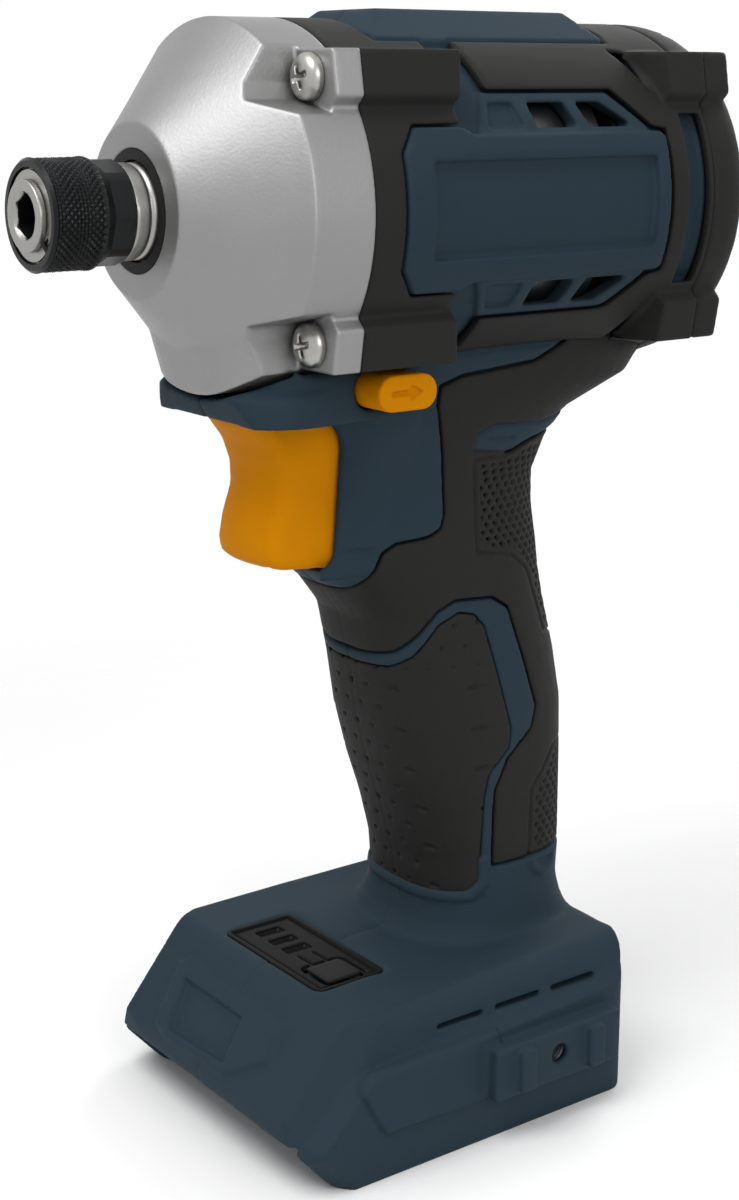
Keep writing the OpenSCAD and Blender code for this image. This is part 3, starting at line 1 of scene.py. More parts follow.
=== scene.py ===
# %% [markdown]
# # A cordless impact driver
# The CAD model gives every piece its exact size and place. This script gives the pieces their looks:
# soft moulded edges, rubber that meets plastic in a fine gap, a knurled sleeve, cast and ground metal.
# It loads the imported CAD model first and keeps its box.

import math
from types import SimpleNamespace

import bpy
import numpy as np
import openvdb as vdb
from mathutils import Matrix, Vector


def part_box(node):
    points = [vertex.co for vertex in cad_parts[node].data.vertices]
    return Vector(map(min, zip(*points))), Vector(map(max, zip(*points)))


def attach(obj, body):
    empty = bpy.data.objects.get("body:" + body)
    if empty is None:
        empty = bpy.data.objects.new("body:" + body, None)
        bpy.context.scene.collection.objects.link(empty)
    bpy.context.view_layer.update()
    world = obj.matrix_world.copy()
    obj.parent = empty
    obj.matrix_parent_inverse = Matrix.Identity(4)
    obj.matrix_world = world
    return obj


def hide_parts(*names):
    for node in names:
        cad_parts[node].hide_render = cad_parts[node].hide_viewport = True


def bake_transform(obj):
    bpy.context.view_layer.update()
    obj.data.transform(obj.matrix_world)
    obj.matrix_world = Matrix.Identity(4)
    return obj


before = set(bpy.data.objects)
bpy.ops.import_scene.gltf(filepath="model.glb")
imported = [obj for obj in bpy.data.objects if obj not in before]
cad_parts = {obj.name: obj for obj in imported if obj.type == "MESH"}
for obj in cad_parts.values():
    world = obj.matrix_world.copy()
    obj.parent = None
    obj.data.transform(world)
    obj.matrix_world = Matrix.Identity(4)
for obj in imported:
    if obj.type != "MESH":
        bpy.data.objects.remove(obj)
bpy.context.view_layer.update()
MM = 0.001

# %% [markdown]
# ## Camera
# The photograph was taken from the front left, a little above the tool, with a short telephoto lens.
# Place, heading and pitch were worked out from points of the tool whose real places are known.
# A camera looks along its own -Z, so a level view along a heading needs a quarter turn about X first.

# %% Place the camera
camera_place = Vector((201.8, 279.2, 185.3)) * MM
heading, pitch = math.radians(233.935), math.radians(-14.783)
camera_data = bpy.data.cameras.new("photo_camera")
camera_data.lens = 59.23
camera_data.clip_start = 0.01
camera = bpy.data.objects.new("photo_camera", camera_data)
camera.location = camera_place
camera.rotation_euler = (math.pi / 2 + pitch, 0, heading - math.pi / 2)
bpy.context.scene.collection.objects.link(camera)
bpy.context.scene.camera = camera
print("camera lens:", round(camera_data.lens, 2), "mm")

# %% [markdown]
# ## Nodes and colours
# A material or a world is a small graph of nodes. One function adds a node, sets its values and connects it.
# Colours are written as they look on a screen. Shaders count light instead, so a second function takes the
# curve of the screen out of them.


# %% Two helpers for shaders
def add(tree, kind, settings=None, links=None):
    """Add a shader node, set its values and connect its inputs."""
    made = tree.nodes.new(kind)
    for key, value in (settings or {}).items():
        if key in made.inputs:
            made.inputs[key].default_value = value
        else:
            setattr(made, key, value)
    for key, source in (links or {}).items():
        tree.links.new(source, made.inputs[key])
    return made


def linear(code):
    """Turn a hex colour as seen on screen into the linear colour that shaders use."""
    parts = [int(code[i : i + 2], 16) / 255 for i in (1, 3, 5)]
    return [p / 12.92 if p <= 0.04045 else ((p + 0.055) / 1.055) ** 2.4 for p in parts] + [1]


# %% [markdown]
# ## Studio world
# The photograph shows a bright studio, white all round. The camera, mirrors and glass see the world as pure
# white. As a light on dull surfaces it is dimmer, and weaker from below than from above, so that the forms
# keep their shading.

# %% Light the world
WORLD_BELOW, WORLD_ABOVE = 0.34, 0.66
# Heights of the direction, from straight down at -1 to straight up at 1, between which the light grows.
WORLD_HEIGHTS = (-0.5, 0.9)
world = bpy.data.worlds.new("studio")
world.use_nodes = True
sky = world.node_tree
sky.nodes.clear()
path = add(sky, "ShaderNodeLightPath")
towards = add(sky, "ShaderNodeTexCoord")
axes = add(sky, "ShaderNodeSeparateXYZ", links={0: towards.outputs["Generated"]})
glow = add(
    sky,
    "ShaderNodeMapRange",
    {"From Min": WORLD_HEIGHTS[0], "From Max": WORLD_HEIGHTS[1], "To Min": WORLD_BELOW, "To Max": WORLD_ABOVE},
    {"Value": axes.outputs["Z"]},
)
dim = add(sky, "ShaderNodeBackground", {"Color": linear("#ffffff")}, {"Strength": glow.outputs[0]})
white = add(sky, "ShaderNodeBackground", {"Color": linear("#ffffff"), "Strength": 1.0})
shows = path.outputs["Is Camera Ray"]
for ray in ("Is Glossy Ray", "Is Transmission Ray"):
    shows = add(sky, "ShaderNodeMath", {"operation": "MAXIMUM"}, {0: shows, 1: path.outputs[ray]}).outputs[0]
seen = add(sky, "ShaderNodeMixShader", links={0: shows, 1: dim.outputs[0], 2: white.outputs[0]})
add(sky, "ShaderNodeOutputWorld", links={"Surface": seen.outputs[0]})
bpy.context.scene.world = world
print("world strength:", WORLD_BELOW, "to", WORLD_ABOVE)

# %% [markdown]
# ## Lamps
# One big soft light hangs high in front of the nose, a weaker one stands to the side, and one from behind
# draws the upper edges. Large discs close to a small object give soft shadows.

# %% Hang the lamps
# Place and target in mm, width in mm, power in watts.
LAMPS = {
    "key_front_high": ((240, 40, 500), (0, 0, 120), 300, 1.35),
    "fill_side": ((60, 520, 330), (0, 0, 110), 320, 0.8),
    "rim_back": ((-420, -160, 380), (0, 0, 130), 300, 0.8),
}
for name, (place, target, width, watts) in LAMPS.items():
    lamp = bpy.data.lights.new(name, "AREA")
    lamp.shape, lamp.size, lamp.energy = "DISK", width * MM, watts
    holder = bpy.data.objects.new(name, lamp)
    holder.location = Vector(place) * MM
    aim = (Vector(target) - Vector(place)).normalized()
    holder.rotation_euler = aim.to_track_quat("-Z", "Y").to_euler()
    bpy.context.scene.collection.objects.link(holder)
print("lamps:", len(LAMPS))

# %% [markdown]
# ## Floor
# A round floor in matt white paint takes the shadow. Its paint turns clear towards the rim, so that no edge
# of it shows against the white world.

# %% Lay the floor
FLOOR_REACH, FLOOR_STEPS = 0.4, 96
# Shares of the reach between which the paint fades out.
FLOOR_FADE = (0.3, 0.9)
turns = [math.tau * i / FLOOR_STEPS for i in range(FLOOR_STEPS)]
floor_mesh = bpy.data.meshes.new("floor")
floor_rim = [(FLOOR_REACH * math.cos(turn), FLOOR_REACH * math.sin(turn), 0) for turn in turns]
floor_mesh.from_pydata(floor_rim, [], [list(range(FLOOR_STEPS))])
floor = bpy.data.objects.new("floor", floor_mesh)
bpy.context.scene.collection.objects.link(floor)
# Matt emulsion paint, rolled on: white without any gloss.
paint = bpy.data.materials.new("matt_white_floor_paint")
paint.use_nodes = True
tree = paint.node_tree
matt = tree.nodes["Principled BSDF"]
matt.inputs["Base Color"].default_value = linear("#fbfbfb")
matt.inputs["Roughness"].default_value = 0.95
matt.inputs["Specular IOR Level"].default_value = 0.0
spot = add(tree, "ShaderNodeTexCoord")
away = add(tree, "ShaderNodeVectorMath", {"operation": "LENGTH"}, {0: spot.outputs["Object"]})
near, far = [share * FLOOR_REACH for share in FLOOR_FADE]
fade = add(
    tree,
    "ShaderNodeMapRange",
    {"From Min": near, "From Max": far, "interpolation_type": "SMOOTHSTEP"},
    {"Value": away.outputs["Value"]},
)
clear = add(tree, "ShaderNodeBsdfTransparent")
soft = add(tree, "ShaderNodeMixShader", links={0: fade.outputs[0], 1: matt.outputs[0], 2: clear.outputs[0]})
tree.links.new(soft.outputs[0], tree.nodes["Material Output"].inputs["Surface"])
floor_mesh.materials.append(paint)
bpy.context.scene.view_settings.view_transform = "Standard"
print("floor reaches", FLOOR_REACH, "m")

# %% [markdown]
# ## Finishes
# Every real surface has a grain: the spark eroded tool leaves it on plastic, blasting on a casting, the lathe
# leaves rings. It could be painted as an image, but a noise fits every shape without unfolding it. Real grains
# are mostly finer than a tenth of a millimetre and would vanish in the picture, so they are drawn three to
# five times coarser. A second, slow noise varies gloss and colour a little, as handling does.

# %% One function makes every finish
# Width in mm of the slow clouds, how much stronger they tint than they dull, and the depth of a grain.
CLOUD_MM, CLOUD_TINT, GRAIN_DEPTH = 9, 1.5, 0.3


def finish(name, colour, rough, grain_mm, grain, mottle, stretch=(1, 1, 1), **shader):
    """A surface with a grain of that size in mm, and a mottle of its colour and gloss."""
    material = bpy.data.materials.new(name)
    material.use_nodes = True
    tree = material.node_tree
    body = tree.nodes["Principled BSDF"]
    base = linear(colour)
    # Programs that can't read the nodes fall back on these two.
    body.inputs["Base Color"].default_value = base
    body.inputs["Roughness"].default_value = rough
    for key, value in shader.items():
        body.inputs[key.replace("_", " ")].default_value = value
    place = add(tree, "ShaderNodeTexCoord")
    turned = add(tree, "ShaderNodeMapping", {"Scale": stretch}, {"Vector": place.outputs["Object"]}).outputs[0]
    cloud = add(tree, "ShaderNodeTexNoise", {"Scale": 1 / (CLOUD_MM * MM), "Detail": 4.0}, {"Vector": turned})
    dull, shiny = rough + mottle, rough - mottle
    gloss = add(tree, "ShaderNodeMapRange", {"To Min": shiny, "To Max": dull}, {"Value": cloud.outputs[0]})
    tree.links.new(gloss.outputs[0], body.inputs["Roughness"])
    tint = add(tree, "ShaderNodeValToRGB", links={"Fac": cloud.outputs[0]})
    for stop, share in ((0, 1 - mottle * CLOUD_TINT), (1, 1 + mottle * CLOUD_TINT)):
        tint.color_ramp.elements[stop].color = [min(c * share, 1) for c in base[:3]] + [1]
    tree.links.new(tint.outputs[0], body.inputs["Base Color"])
    fine = add(tree, "ShaderNodeTexNoise", {"Scale": 1 / (grain_mm * MM), "Detail": 3.0}, {"Vector": turned})
    depth = grain_mm * MM * GRAIN_DEPTH
    bump = add(tree, "ShaderNodeBump", {"Strength": grain, "Distance": depth}, {"Height": fine.outputs[0]})
    tree.links.new(bump.outputs[0], body.inputs["Normal"])
    return material


# %% [markdown]
# ## Plastics and rubbers
# The shell is nylon with glass fibre, the grips are soft rubber moulded over it, trigger and selector are
# acetal, which slides without grease. All are dyed in the mass, so no paint can wear off, and textured, so
# their gloss is low.

# %% Mix the plastics
# Glass filled nylon, moulded in a spark eroded tool: slate blue, a fine even matt.
nylon = finish("nylon_spark_eroded_slate", "#27353f", 0.66, 0.35, 0.3, 0.04, Specular_IOR_Level=0.1)
# Thermoplastic rubber, overmoulded: nearly black, dull, with a soft broad highlight.
rubber = finish("tpe_overmoulded_black", "#1c1c1b", 0.7, 0.3, 0.35, 0.05, Specular_IOR_Level=0.2)
# Nitrile rubber of the shaft seal, pressed in a hot mould: dull black.
nitrile = finish("nitrile_moulded_black", "#121212", 0.6, 0.3, 0.3, 0.04, Specular_IOR_Level=0.2)
# Acetal, moulded in a finely blasted tool: warm orange, satin.
acetal = finish("acetal_moulded_orange", "#cb8000", 0.58, 0.35, 0.15, 0.03, Specular_IOR_Level=0.05)
# Polycarbonate film with a matt back print, embossed: a flat even black.
film = finish("polycarbonate_film_embossed", "#101010", 0.55, 0.3, 0.15, 0.04, Specular_IOR_Level=0.08)
# Smoked polycarbonate windows, moulded: black until a lamp behind them lights.
window = finish("polycarbonate_moulded_smoked", "#060606", 0.5, 0.3, 0.1, 0.02, Specular_IOR_Level=0.2)
# Silicone button pad, moulded: a little paler and duller than the film.
button_pad = finish("silicone_moulded_black", "#191919", 0.55, 0.3, 0.3, 0.04, Specular_IOR_Level=0.12)
# Nylon of the inner pieces, moulded in a plain tool: dark grey with more shine, since nobody sees it.
dark_nylon = finish("nylon_moulded_black", "#26282a", 0.5, 0.35, 0.3, 0.04)
# Silicone covers of the leads, extruded: soft red, half dull.
lead_cover = finish("silicone_extruded_red", "#8a2a22", 0.5, 0.3, 0.2, 0.04)
# Glass fibre board under black lacquer: dark, half gloss.
board = finish("fibreglass_lacquered_black", "#17191a", 0.5, 0.4, 0.2, 0.06)
print("plastics:", len(bpy.data.materials))

# %% [markdown]
# ## Metals
# A metal has no colour of its own under the gloss: what the eye sees is the studio in it, blurred by its
# roughness. So each one differs mainly in how rough it is and in how much light it gives back.

# %% Choose the metals
# Die cast aluminium, shot blasted: pale grey with a satin, faintly pebbled skin.
casting = finish("aluminium_die_cast_blasted", "#919191", 0.5, 0.5, 0.25, 0.03, Metallic=1.0)
# Tool steel, turned and ground: bright, with fine rings left by the lathe.
steel = finish("steel_turned_ground", "#9d9c98", 0.4, 0.25, 0.12, 0.04, (8, 1, 1), Metallic=1.0)
# Zinc plated steel of the screws: bright silver with soft reflections.
zinc = finish("steel_zinc_plated", "#a9a8a4", 0.32, 0.3, 0.06, 0.04, Metallic=1.0)
# Black oxide on steel, dipped and oiled: dark, with a gleam on every knurl.
oxide = finish(
    "steel_black_oxide", "#1d1e1f", 0.38, 0.25, 0.2, 0.05, Metallic=0.6, Specular_IOR_Level=0.25
)
# Brass of the blades, stamped from sheet: warm yellow and fairly bright.
brass = finish("brass_stamped", "#b08d4a", 0.3, 0.3, 0.1, 0.04, Metallic=1.0)
# Bronze, sintered from powder: brownish, dull from its pores.
bronze = finish("bronze_sintered", "#9a7a45", 0.45, 0.3, 0.3, 0.06, Metallic=1.0)
# Spring steel, drawn and oiled: grey with a long highlight along the wire.
spring_steel = finish("spring_steel_drawn_oiled", "#86888b", 0.32, 0.3, 0.1, 0.05, Metallic=1.0)
# Case hardened steel, tumbled: mid grey, slightly blotched by the furnace.
hard_steel = finish("steel_case_hardened", "#6f7174", 0.38, 0.3, 0.15, 0.06, Metallic=1.0)
# Electrical steel, punched and stacked: the edges of the sheets run as lines round the motor.
laminate = finish(
    "electrical_steel_laminated", "#5a5c5e", 0.42, 0.4, 0.5, 0.05, (1, 0.02, 0.02), Metallic=1.0
)
# Copper wire under clear enamel: reddish brown, wet looking.
copper = finish("copper_enamelled", "#9c5a2c", 0.3, 0.5, 0.5, 0.05, Metallic=1.0)
print("materials:", len(bpy.data.materials))

# %% [markdown]
# ## Distance fields
# Real mouldings have no sharp edge. Bevelling hundreds of CAD edges by hand would be slow and would fail
# where curved faces meet. A distance field avoids that: it holds, for each small cube of space, how far the
# surface is away, negative inside. Smoothing it rounds every edge and fills every corner a little.

# %% Measure the distance to CAD nodes
# How many cubes the field reaches to either side of the surface.
BAND = 6
# A factor on every grid pitch: above one, the fields work on a coarser grid that keeps only the shapes.
COARSE = 1.0


def grid_axes(low, shape, voxel):
    """Places of the grid points in mm, one array per axis, ready to be combined."""
    x, y, z = [(low[i] + np.arange(shape[i])) * voxel for i in range(3)]
    return x[:, None, None], y[None, :, None], z[None, None, :]


def distances(nodes, low, shape, voxel):
    """Distance in mm to some CAD nodes together, at every point of a grid."""
    values = np.full(tuple(shape), BAND * voxel, np.float32)
    for node in nodes:
        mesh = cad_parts[node].data
        mesh.calc_loop_triangles()
        points = np.empty(len(mesh.vertices) * 3, np.float32)
        mesh.vertices.foreach_get("co", points)
        corners = np.empty(len(mesh.loop_triangles) * 3, np.int32)
        mesh.loop_triangles.foreach_get("vertices", corners)
        grid = vdb.FloatGrid.createLevelSetFromPolygons(
            points.reshape(-1, 3) / MM,
            triangles=corners.reshape(-1, 3).astype(np.uint32),
            transform=vdb.createLinearTransform(voxelSize=voxel),
            halfWidth=BAND,
        )
        one = np.empty_like(values)
        grid.copyToArray(one, ijk=tuple(int(v) for v in low))
        values = np.minimum(values, one)
    return values


# %% [markdown]
# ## Smoothing a field
# Each pass mixes every value with its two neighbours, along each axis in turn. More passes give rounder
# edges. Flat and gently curved faces stay where they are, because there the neighbours even out.


# %% Smooth a field
def soften(values, passes):
    """Smooth a field with a small kernel, once per pass and axis."""
    for _ in range(passes):
        for axis in range(3):
            before = np.moveaxis(values, axis, 0)
            after = before.copy()
            after[1:-1] = before[1:-1] * 0.5 + (before[:-2] + before[2:]) * 0.25
            values = np.moveaxis(after, 0, axis)
    return values


def soften_inside(form, low, high, passes, margin):
    """Smooth a field more strongly inside a box in mm, fading in over a margin from its sides."""
    axes = [axis.ravel() for axis in (form.x, form.y, form.z)]
    cuts = tuple(slice(*np.searchsorted(axis, ends)) for axis, ends in zip(axes, zip(low, high)))
    weight = 1.0
    for i, (axis, cut) in enumerate(zip(axes, cuts)):
        place = axis[cut]
        fade = np.clip(np.minimum(place - low[i], high[i] - place) / margin, 0, 1)
        weight = weight * fade.reshape([-1 if k == i else 1 for k in range(3)])
    block = form.values[cuts]
    form.values[cuts] = block + weight * (soften(block, passes) - block)


def banded(values, voxel):
    """Cut a computed field off where a measured one ends."""
    return np.clip(values, -BAND * voxel, BAND * voxel).astype(np.float32)


def field(nodes, voxel, passes=0):
    """The distance field of some CAD nodes together, in mm, on a grid of that pitch."""
    voxel = voxel * COARSE
    boxes = [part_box(node) for node in nodes]
    low = np.floor(np.min([box[0] for box in boxes], 0) / MM / voxel).astype(int) - BAND
    high = np.ceil(np.max([box[1] for box in boxes], 0) / MM / voxel).astype(int) + BAND
    values = distances(nodes, low, high - low + 1, voxel)
    x, y, z = grid_axes(low, values.shape, voxel)
    return SimpleNamespace(values=soften(values, passes), low=low, voxel=voxel, x=x, y=y, z=z)


# %% [markdown]
# ## Drawing on a field
# Adding to a field sinks the surface, taking away raises it, so a groove, a dimple or a raised plate stays
# part of one closed skin. Two fields are cut with the larger value and joined with the smaller one. An
# outline is a row of points in a plane, such as the side view.


# %% Outlines, slopes, grooves and rounded edges
def skin_points(form, depth):
    """Grid points near the surface: where they are in the grid, and where they are in mm."""
    index = np.nonzero(np.abs(form.values) < depth)
    return index, form.x[index[0], 0, 0], form.y[0, index[1], 0], form.z[0, 0, index[2]]


def outline(points, u, v):
    """Distance in mm to a closed outline in a plane, negative inside it."""
    near, odd = None, False
    for (au, av), (bu, bv) in zip(points, points[1:] + points[:1]):
        eu, ev = bu - au, bv - av
        along = np.clip(((u - au) * eu + (v - av) * ev) / (eu * eu + ev * ev), 0, 1)
        gap = (u - au - eu * along) ** 2 + (v - av - ev * along) ** 2
        near = gap if near is None else np.minimum(near, gap)
        if ev:
            odd = odd ^ (((av > v) != (bv > v)) & (u < (v - av) * eu / ev + au))
    return np.where(odd, -1, 1) * np.sqrt(near)


def ramp(distance, width):
    """One well inside an outline, nought well outside it, with a slope of that width between."""
    return np.clip(0.5 - distance / width, 0, 1)


def groove(distance, width):
    """One on a line, falling to nought at half the width to either side."""
    return np.clip(1 - np.abs(distance) * 2 / width, 0, 1)


def rounded(one, other, radius):
    """The edge where two faces meet, rounded to a radius; each is given by its distance."""
    a, b = np.maximum(one + radius, 0), np.maximum(other + radius, 0)
    return np.minimum(np.maximum(one, other) + radius, 0) + np.hypot(a, b) - radius


# %% [markdown]
# ## From a field to a mesh
# The surface lies where the field is nought, and is meshed with few faces where it is flat. The slope of the
# field tells where each point faces, which shades better than the faces do. Each piece rides on the CAD body
# that it belongs to and stands for the CAD nodes that it replaces.


# %% Make a skin and a piece
def sample(values, spots):
    """Values of a field between its grid points."""
    cell = np.clip(np.floor(spots).astype(int), 0, np.array(values.shape) - 2)
    part = spots - cell
    total = 0
    for corner in np.ndindex(2, 2, 2):
        weight = np.prod(np.where(corner, part, 1 - part), axis=1)
        total = total + weight * values[tuple((cell + corner).T)]
    return total


def skin(form, thrift=0.06, shade_passes=2):
    """Points in mm, faces and normals of the surface in a field; thrift saves faces where it is flat."""
    grid = vdb.FloatGrid(BAND * form.voxel)
    grid.gridClass = vdb.GridClass.LEVEL_SET
    grid.copyFromArray(np.ascontiguousarray(form.values), ijk=(0, 0, 0))
    spots, triangles, quads = grid.convertToPolygons(isovalue=0.0, adaptivity=thrift)
    faces = [tuple(f[::-1]) for f in triangles.tolist()] + [tuple(f[::-1]) for f in quads.tolist()]
    shaded = soften(form.values, shade_passes)
    normals = np.stack([sample(slope, spots) for slope in np.gradient(shaded)], 1)
    normals /= np.maximum(np.linalg.norm(normals, axis=1, keepdims=True), 1e-9)
    return (spots + form.low) * form.voxel, faces, normals


def piece(name, points, faces, materials, body, nodes, normals=None):
    """Make a mesh object from points in mm, let it ride on a body and stand for CAD nodes."""
    mesh = bpy.data.meshes.new(name)
    mesh.from_pydata((np.asarray(points) * MM).tolist(), [], faces)
    if normals is not None:
        mesh.polygons.foreach_set("use_smooth", np.ones(len(mesh.polygons), bool))
        mesh.normals_split_custom_set_from_vertices(normals.tolist())
    for material in materials:
        mesh.materials.append(material)
    made = bpy.data.objects.new(name, mesh)
    bpy.context.scene.collection.objects.link(made)
    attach(made, body)
    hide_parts(*nodes)
    print(name, len(mesh.polygons), "faces")
    return made


def shell(name, form, material, body, nodes, thrift=0.06, shade_passes=2):
    """A piece of one material straight from a field."""
    points, faces, normals = skin(form, thrift, shade_passes)
    return piece(name, points, faces, [material], body, nodes, normals)


def face_middles(made):
    """Middles of the faces of a piece, in mm."""
    return np.array([polygon.center[:] for polygon in made.data.polygons]) / MM


def second_material(made, chosen):
    """Give the chosen faces of a piece its second material."""
    made.data.polygons.foreach_set("material_index", chosen.astype(np.int32))
    print(made.name, "has", int(chosen.sum()), "faces in its second material")


# %% [markdown]
# ## Housing
# The slate blue shell is moulded in a left and a right half. To the eye it is one form, so both are measured
# in one field, and only a hair line shows later where they meet. The next cells shape this field piece by
# piece: foot, neck, chin, then the fine relief.

# %% Measure the housing
AXIS_Z = 165
housing_nodes = ["housing_left", "housing_right"]
form = field(housing_nodes, voxel=0.3)
trigger_box = np.array(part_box("trigger")) / MM
print("housing field:", form.values.shape)

# %% [markdown]
# ## Foot
# The foot takes the battery between two skirts. Each skirt's upper edge has a broad chamfer that catches the
# light, and the front corner of the shell above is cut at a slant. The hook hole is closed to a small round
# one, since the insert sits deeper. The slanted front face gets a backing for its relief. Planes that cut the
# field do all this without any boolean, and every new edge is softened with the rest.

# %% Shape the foot
FOOT_TOP, SKIRT_Y, SHELL_Y = 42.0, 32.6, 30.5
# Skirt seen from the side, in mm; it runs on below the floor so that only its upper edge is chamfered.
SKIRT = [
    (-41.8, -30), (27.7, -30), (27.7, 0), (34.0, 7.2), (33.6, 9.6), (24.2, 19.8), (21.0, 21.0), (-41.0, 24.6)
]
SKIRT_CHAMFER, CHAMFER_MARGIN = 2.4, 1
# The front corner of the foot is cut by a plane through this point, facing this way.
CORNER_AT, CORNER_FACE = (26.5, 27.0, 25.7), (0.39, 0.866, 0.315)
HOOK_X, HOOK_Z, HOOK_FACE, HOOK_HOLE, HOOK_LID, HOOK_LIP = -18.2, 14.0, 36.0, 2.0, 1.2, 1.6
# The slanted front face of the foot: a point on it, and its direction upwards and outwards in X and Z.
NOSE_X, NOSE_Z, NOSE_UP, NOSE_OUT = 37.5, 12.0, (-0.6254, 0.7802), (0.7802, 0.6254)
# Its backing: half its thickness, half its width, and the middle and half of its height.
BACKING_THICK, BACKING_WIDE, BACKING_UP, BACKING_HIGH = 0.9, 14, 10.5, 7.5


def nose_place(x, z):
    """How far points lie out of the slanted front face of the foot, and how far up along it, in mm."""
    dx, dz = x - NOSE_X, z - NOSE_Z
    return dx * NOSE_OUT[0] + dz * NOSE_OUT[1], dx * NOSE_UP[0] + dz * NOSE_UP[1]


foot = slice(0, int(np.searchsorted(form.z.ravel(), FOOT_TOP)))
x, y, z, block = form.x, np.abs(form.y), form.z[:, :, foot], form.values[:, :, foot]
skirt_edge = outline(SKIRT, x, z)
chamfer = (y - SKIRT_Y + skirt_edge + SKIRT_CHAMFER) * math.sqrt(0.5)
on_edge = (y > SHELL_Y + form.voxel) & (skirt_edge > -SKIRT_CHAMFER - CHAMFER_MARGIN)
block = np.where(on_edge, np.maximum(block, chamfer), block)
cut = sum((axis - at) * face for axis, at, face in zip((x, y, z), CORNER_AT, CORNER_FACE))
block = np.where((skirt_edge > 0) & (x > 0), np.maximum(block, cut), block)
off_hole = np.hypot(x - HOOK_X, z - HOOK_Z)
lid = np.maximum(HOOK_HOLE - off_hole, off_hole - HOOK_HOLE - HOOK_LIP)
block = np.minimum(block, np.maximum(lid, np.abs(y - HOOK_FACE + HOOK_LID / 2) - HOOK_LID / 2))
out, up = nose_place(x, z)
backing = np.maximum(np.abs(out + BACKING_THICK) - BACKING_THICK, y - BACKING_WIDE)
backing = np.maximum(backing, np.abs(up - BACKING_UP) - BACKING_HIGH)
form.values[:, :, foot] = np.minimum(block, backing)
print("foot shaped up to", FOOT_TOP, "mm")

# %% [markdown]
# ## Neck
# The sides of the neck widen smoothly into the chin, and reach forward beside the trigger as two cheeks. The
# edge of each cheek leans a little and ends in round corners. The wall is computed from the width that the
# housing has at each place: it is carried forward, widened upwards, and thinned towards the edge.

# %% Shape the neck
# The cheek's edge, seen from the trigger's back, with its lean per mm, its inside and its outside at the edge.
CHEEK_AHEAD, CHEEK_PLUS, CHEEK_LEAN = 6.6, 2.2, 0.08
CHEEK_INNER, CHEEK_OUTER, CHEEK_DEEP = 10.9, 12.2, 8.0
CHIN_BOTTOM, CHEEK_TOP_ROUND, CHEEK_LOW_ROUND, CHEEK_LOW_LIFT = 130.6, 6.0, 2.6, 1.5
# The neck widens between these heights, from this far behind the cheek's edge on.
NECK_LOW, NECK_HIGH, NECK_BEHIND, NECK_FADE, NECK_WALL, NECK_MARGIN = 113.0, 131.4, 21.0, 3.0, 2.0, 1
cheek_x, trigger_low = trigger_box[0][0] + CHEEK_AHEAD, trigger_box[0][2]

rows = slice(*np.searchsorted(form.z.ravel(), (trigger_low - NECK_MARGIN, NECK_HIGH)))
z, block = form.z[:, :, rows], form.values[:, :, rows]
half = np.max(np.where(block < 0, y, 0), 1)
level = z.ravel()
at_low, at_back = np.searchsorted(level, NECK_LOW), np.searchsorted(x.ravel(), cheek_x - CHEEK_DEEP)
share = np.clip((level - NECK_LOW) / (NECK_HIGH - NECK_LOW), 0, 1)
widening = np.maximum(half[:, -1] - half[:, at_low], 0)[:, None] * (share**2 * (3 - 2 * share))[None, :]
wide = np.where(level < NECK_LOW, half, half[:, at_low][:, None] + widening)
wide[at_back:] = wide[at_back]
behind = np.clip((x - cheek_x + NECK_BEHIND) / NECK_FADE, 0, 1)
wide = wide[:, None, :] - NECK_WALL * (1 - behind)
inner = np.where(x > cheek_x - CHEEK_DEEP, CHEEK_INNER, wide - NECK_WALL)
edge = cheek_x + CHEEK_PLUS - CHEEK_LEAN * (z - trigger_low)
corners = ((CHEEK_TOP_ROUND, z - CHIN_BOTTOM), (CHEEK_LOW_ROUND, trigger_low + CHEEK_LOW_LIFT - z))
for radius, past in corners:
    edge = edge + radius - np.sqrt(radius**2 - np.clip(past + radius, 0, radius) ** 2)
nearing = np.clip((x - cheek_x + CHEEK_DEEP) / (edge - cheek_x + CHEEK_DEEP), 0, 1) ** 2
wide = wide + (CHEEK_OUTER - wide) * nearing
wall = np.maximum(np.maximum(y - wide, inner - y), np.maximum(x - edge, cheek_x - NECK_BEHIND - x))
form.values[:, :, rows] = np.minimum(block, wall)
print("cheek edge at", round(float(cheek_x + CHEEK_PLUS), 1), "mm")

# %% [markdown]
# ## Chin
# The hammer case rests on the chin. Its front corners are filled out to a tighter curve than the plain CAD
# shape has, with a slanted lower edge and a bevelled upper one, as far as the case leaves room.

# %% Shape the chin
# The front of the chin: how far ahead of the seam, half width and taper, height, and its slant up and back.
SEAM_X, CHIN_AHEAD, CHIN_HALF, CHIN_TAPER, CHIN_HIGH = 18.9, 15.6, 20.0, 0.087, 5.8
SLANT_UP, SLANT_BACK, CHIN_MARGIN = 5.0, 2.4, 1
# Its corner in plan, the corner of the CAD shape, how deep the filling goes into that, and room for the case.
CHIN_CORNER, CHIN_CORNER_BEFORE, CHIN_SKIN, CASE_ROOM = 12.0, 15.0, 1.2, 0.6
start_x = int(np.searchsorted(form.x.ravel(), SEAM_X))
start_z = int(np.searchsorted(form.z.ravel(), CHIN_BOTTOM - CHIN_MARGIN))
end_z = start_z + int((CHIN_HIGH + 2 * CHIN_MARGIN) / form.voxel)
cuts = (slice(start_x, None), slice(None), slice(start_z, end_z))
x, z, block = form.x[cuts[0]], form.z[:, :, cuts[2]], form.values[cuts]
ahead = x - SEAM_X - CHIN_AHEAD
side = y - CHIN_HALF - CHIN_TAPER * ahead
slant = ((ahead + SLANT_BACK) * SLANT_UP - (z - CHIN_BOTTOM) * SLANT_BACK) / np.hypot(SLANT_UP, SLANT_BACK)
before = rounded(side, ahead, CHIN_CORNER_BEFORE)
bevel = (z - CHIN_BOTTOM - CHIN_HIGH + before) * math.sqrt(0.5)
low = form.low + [start_x, 0, start_z]
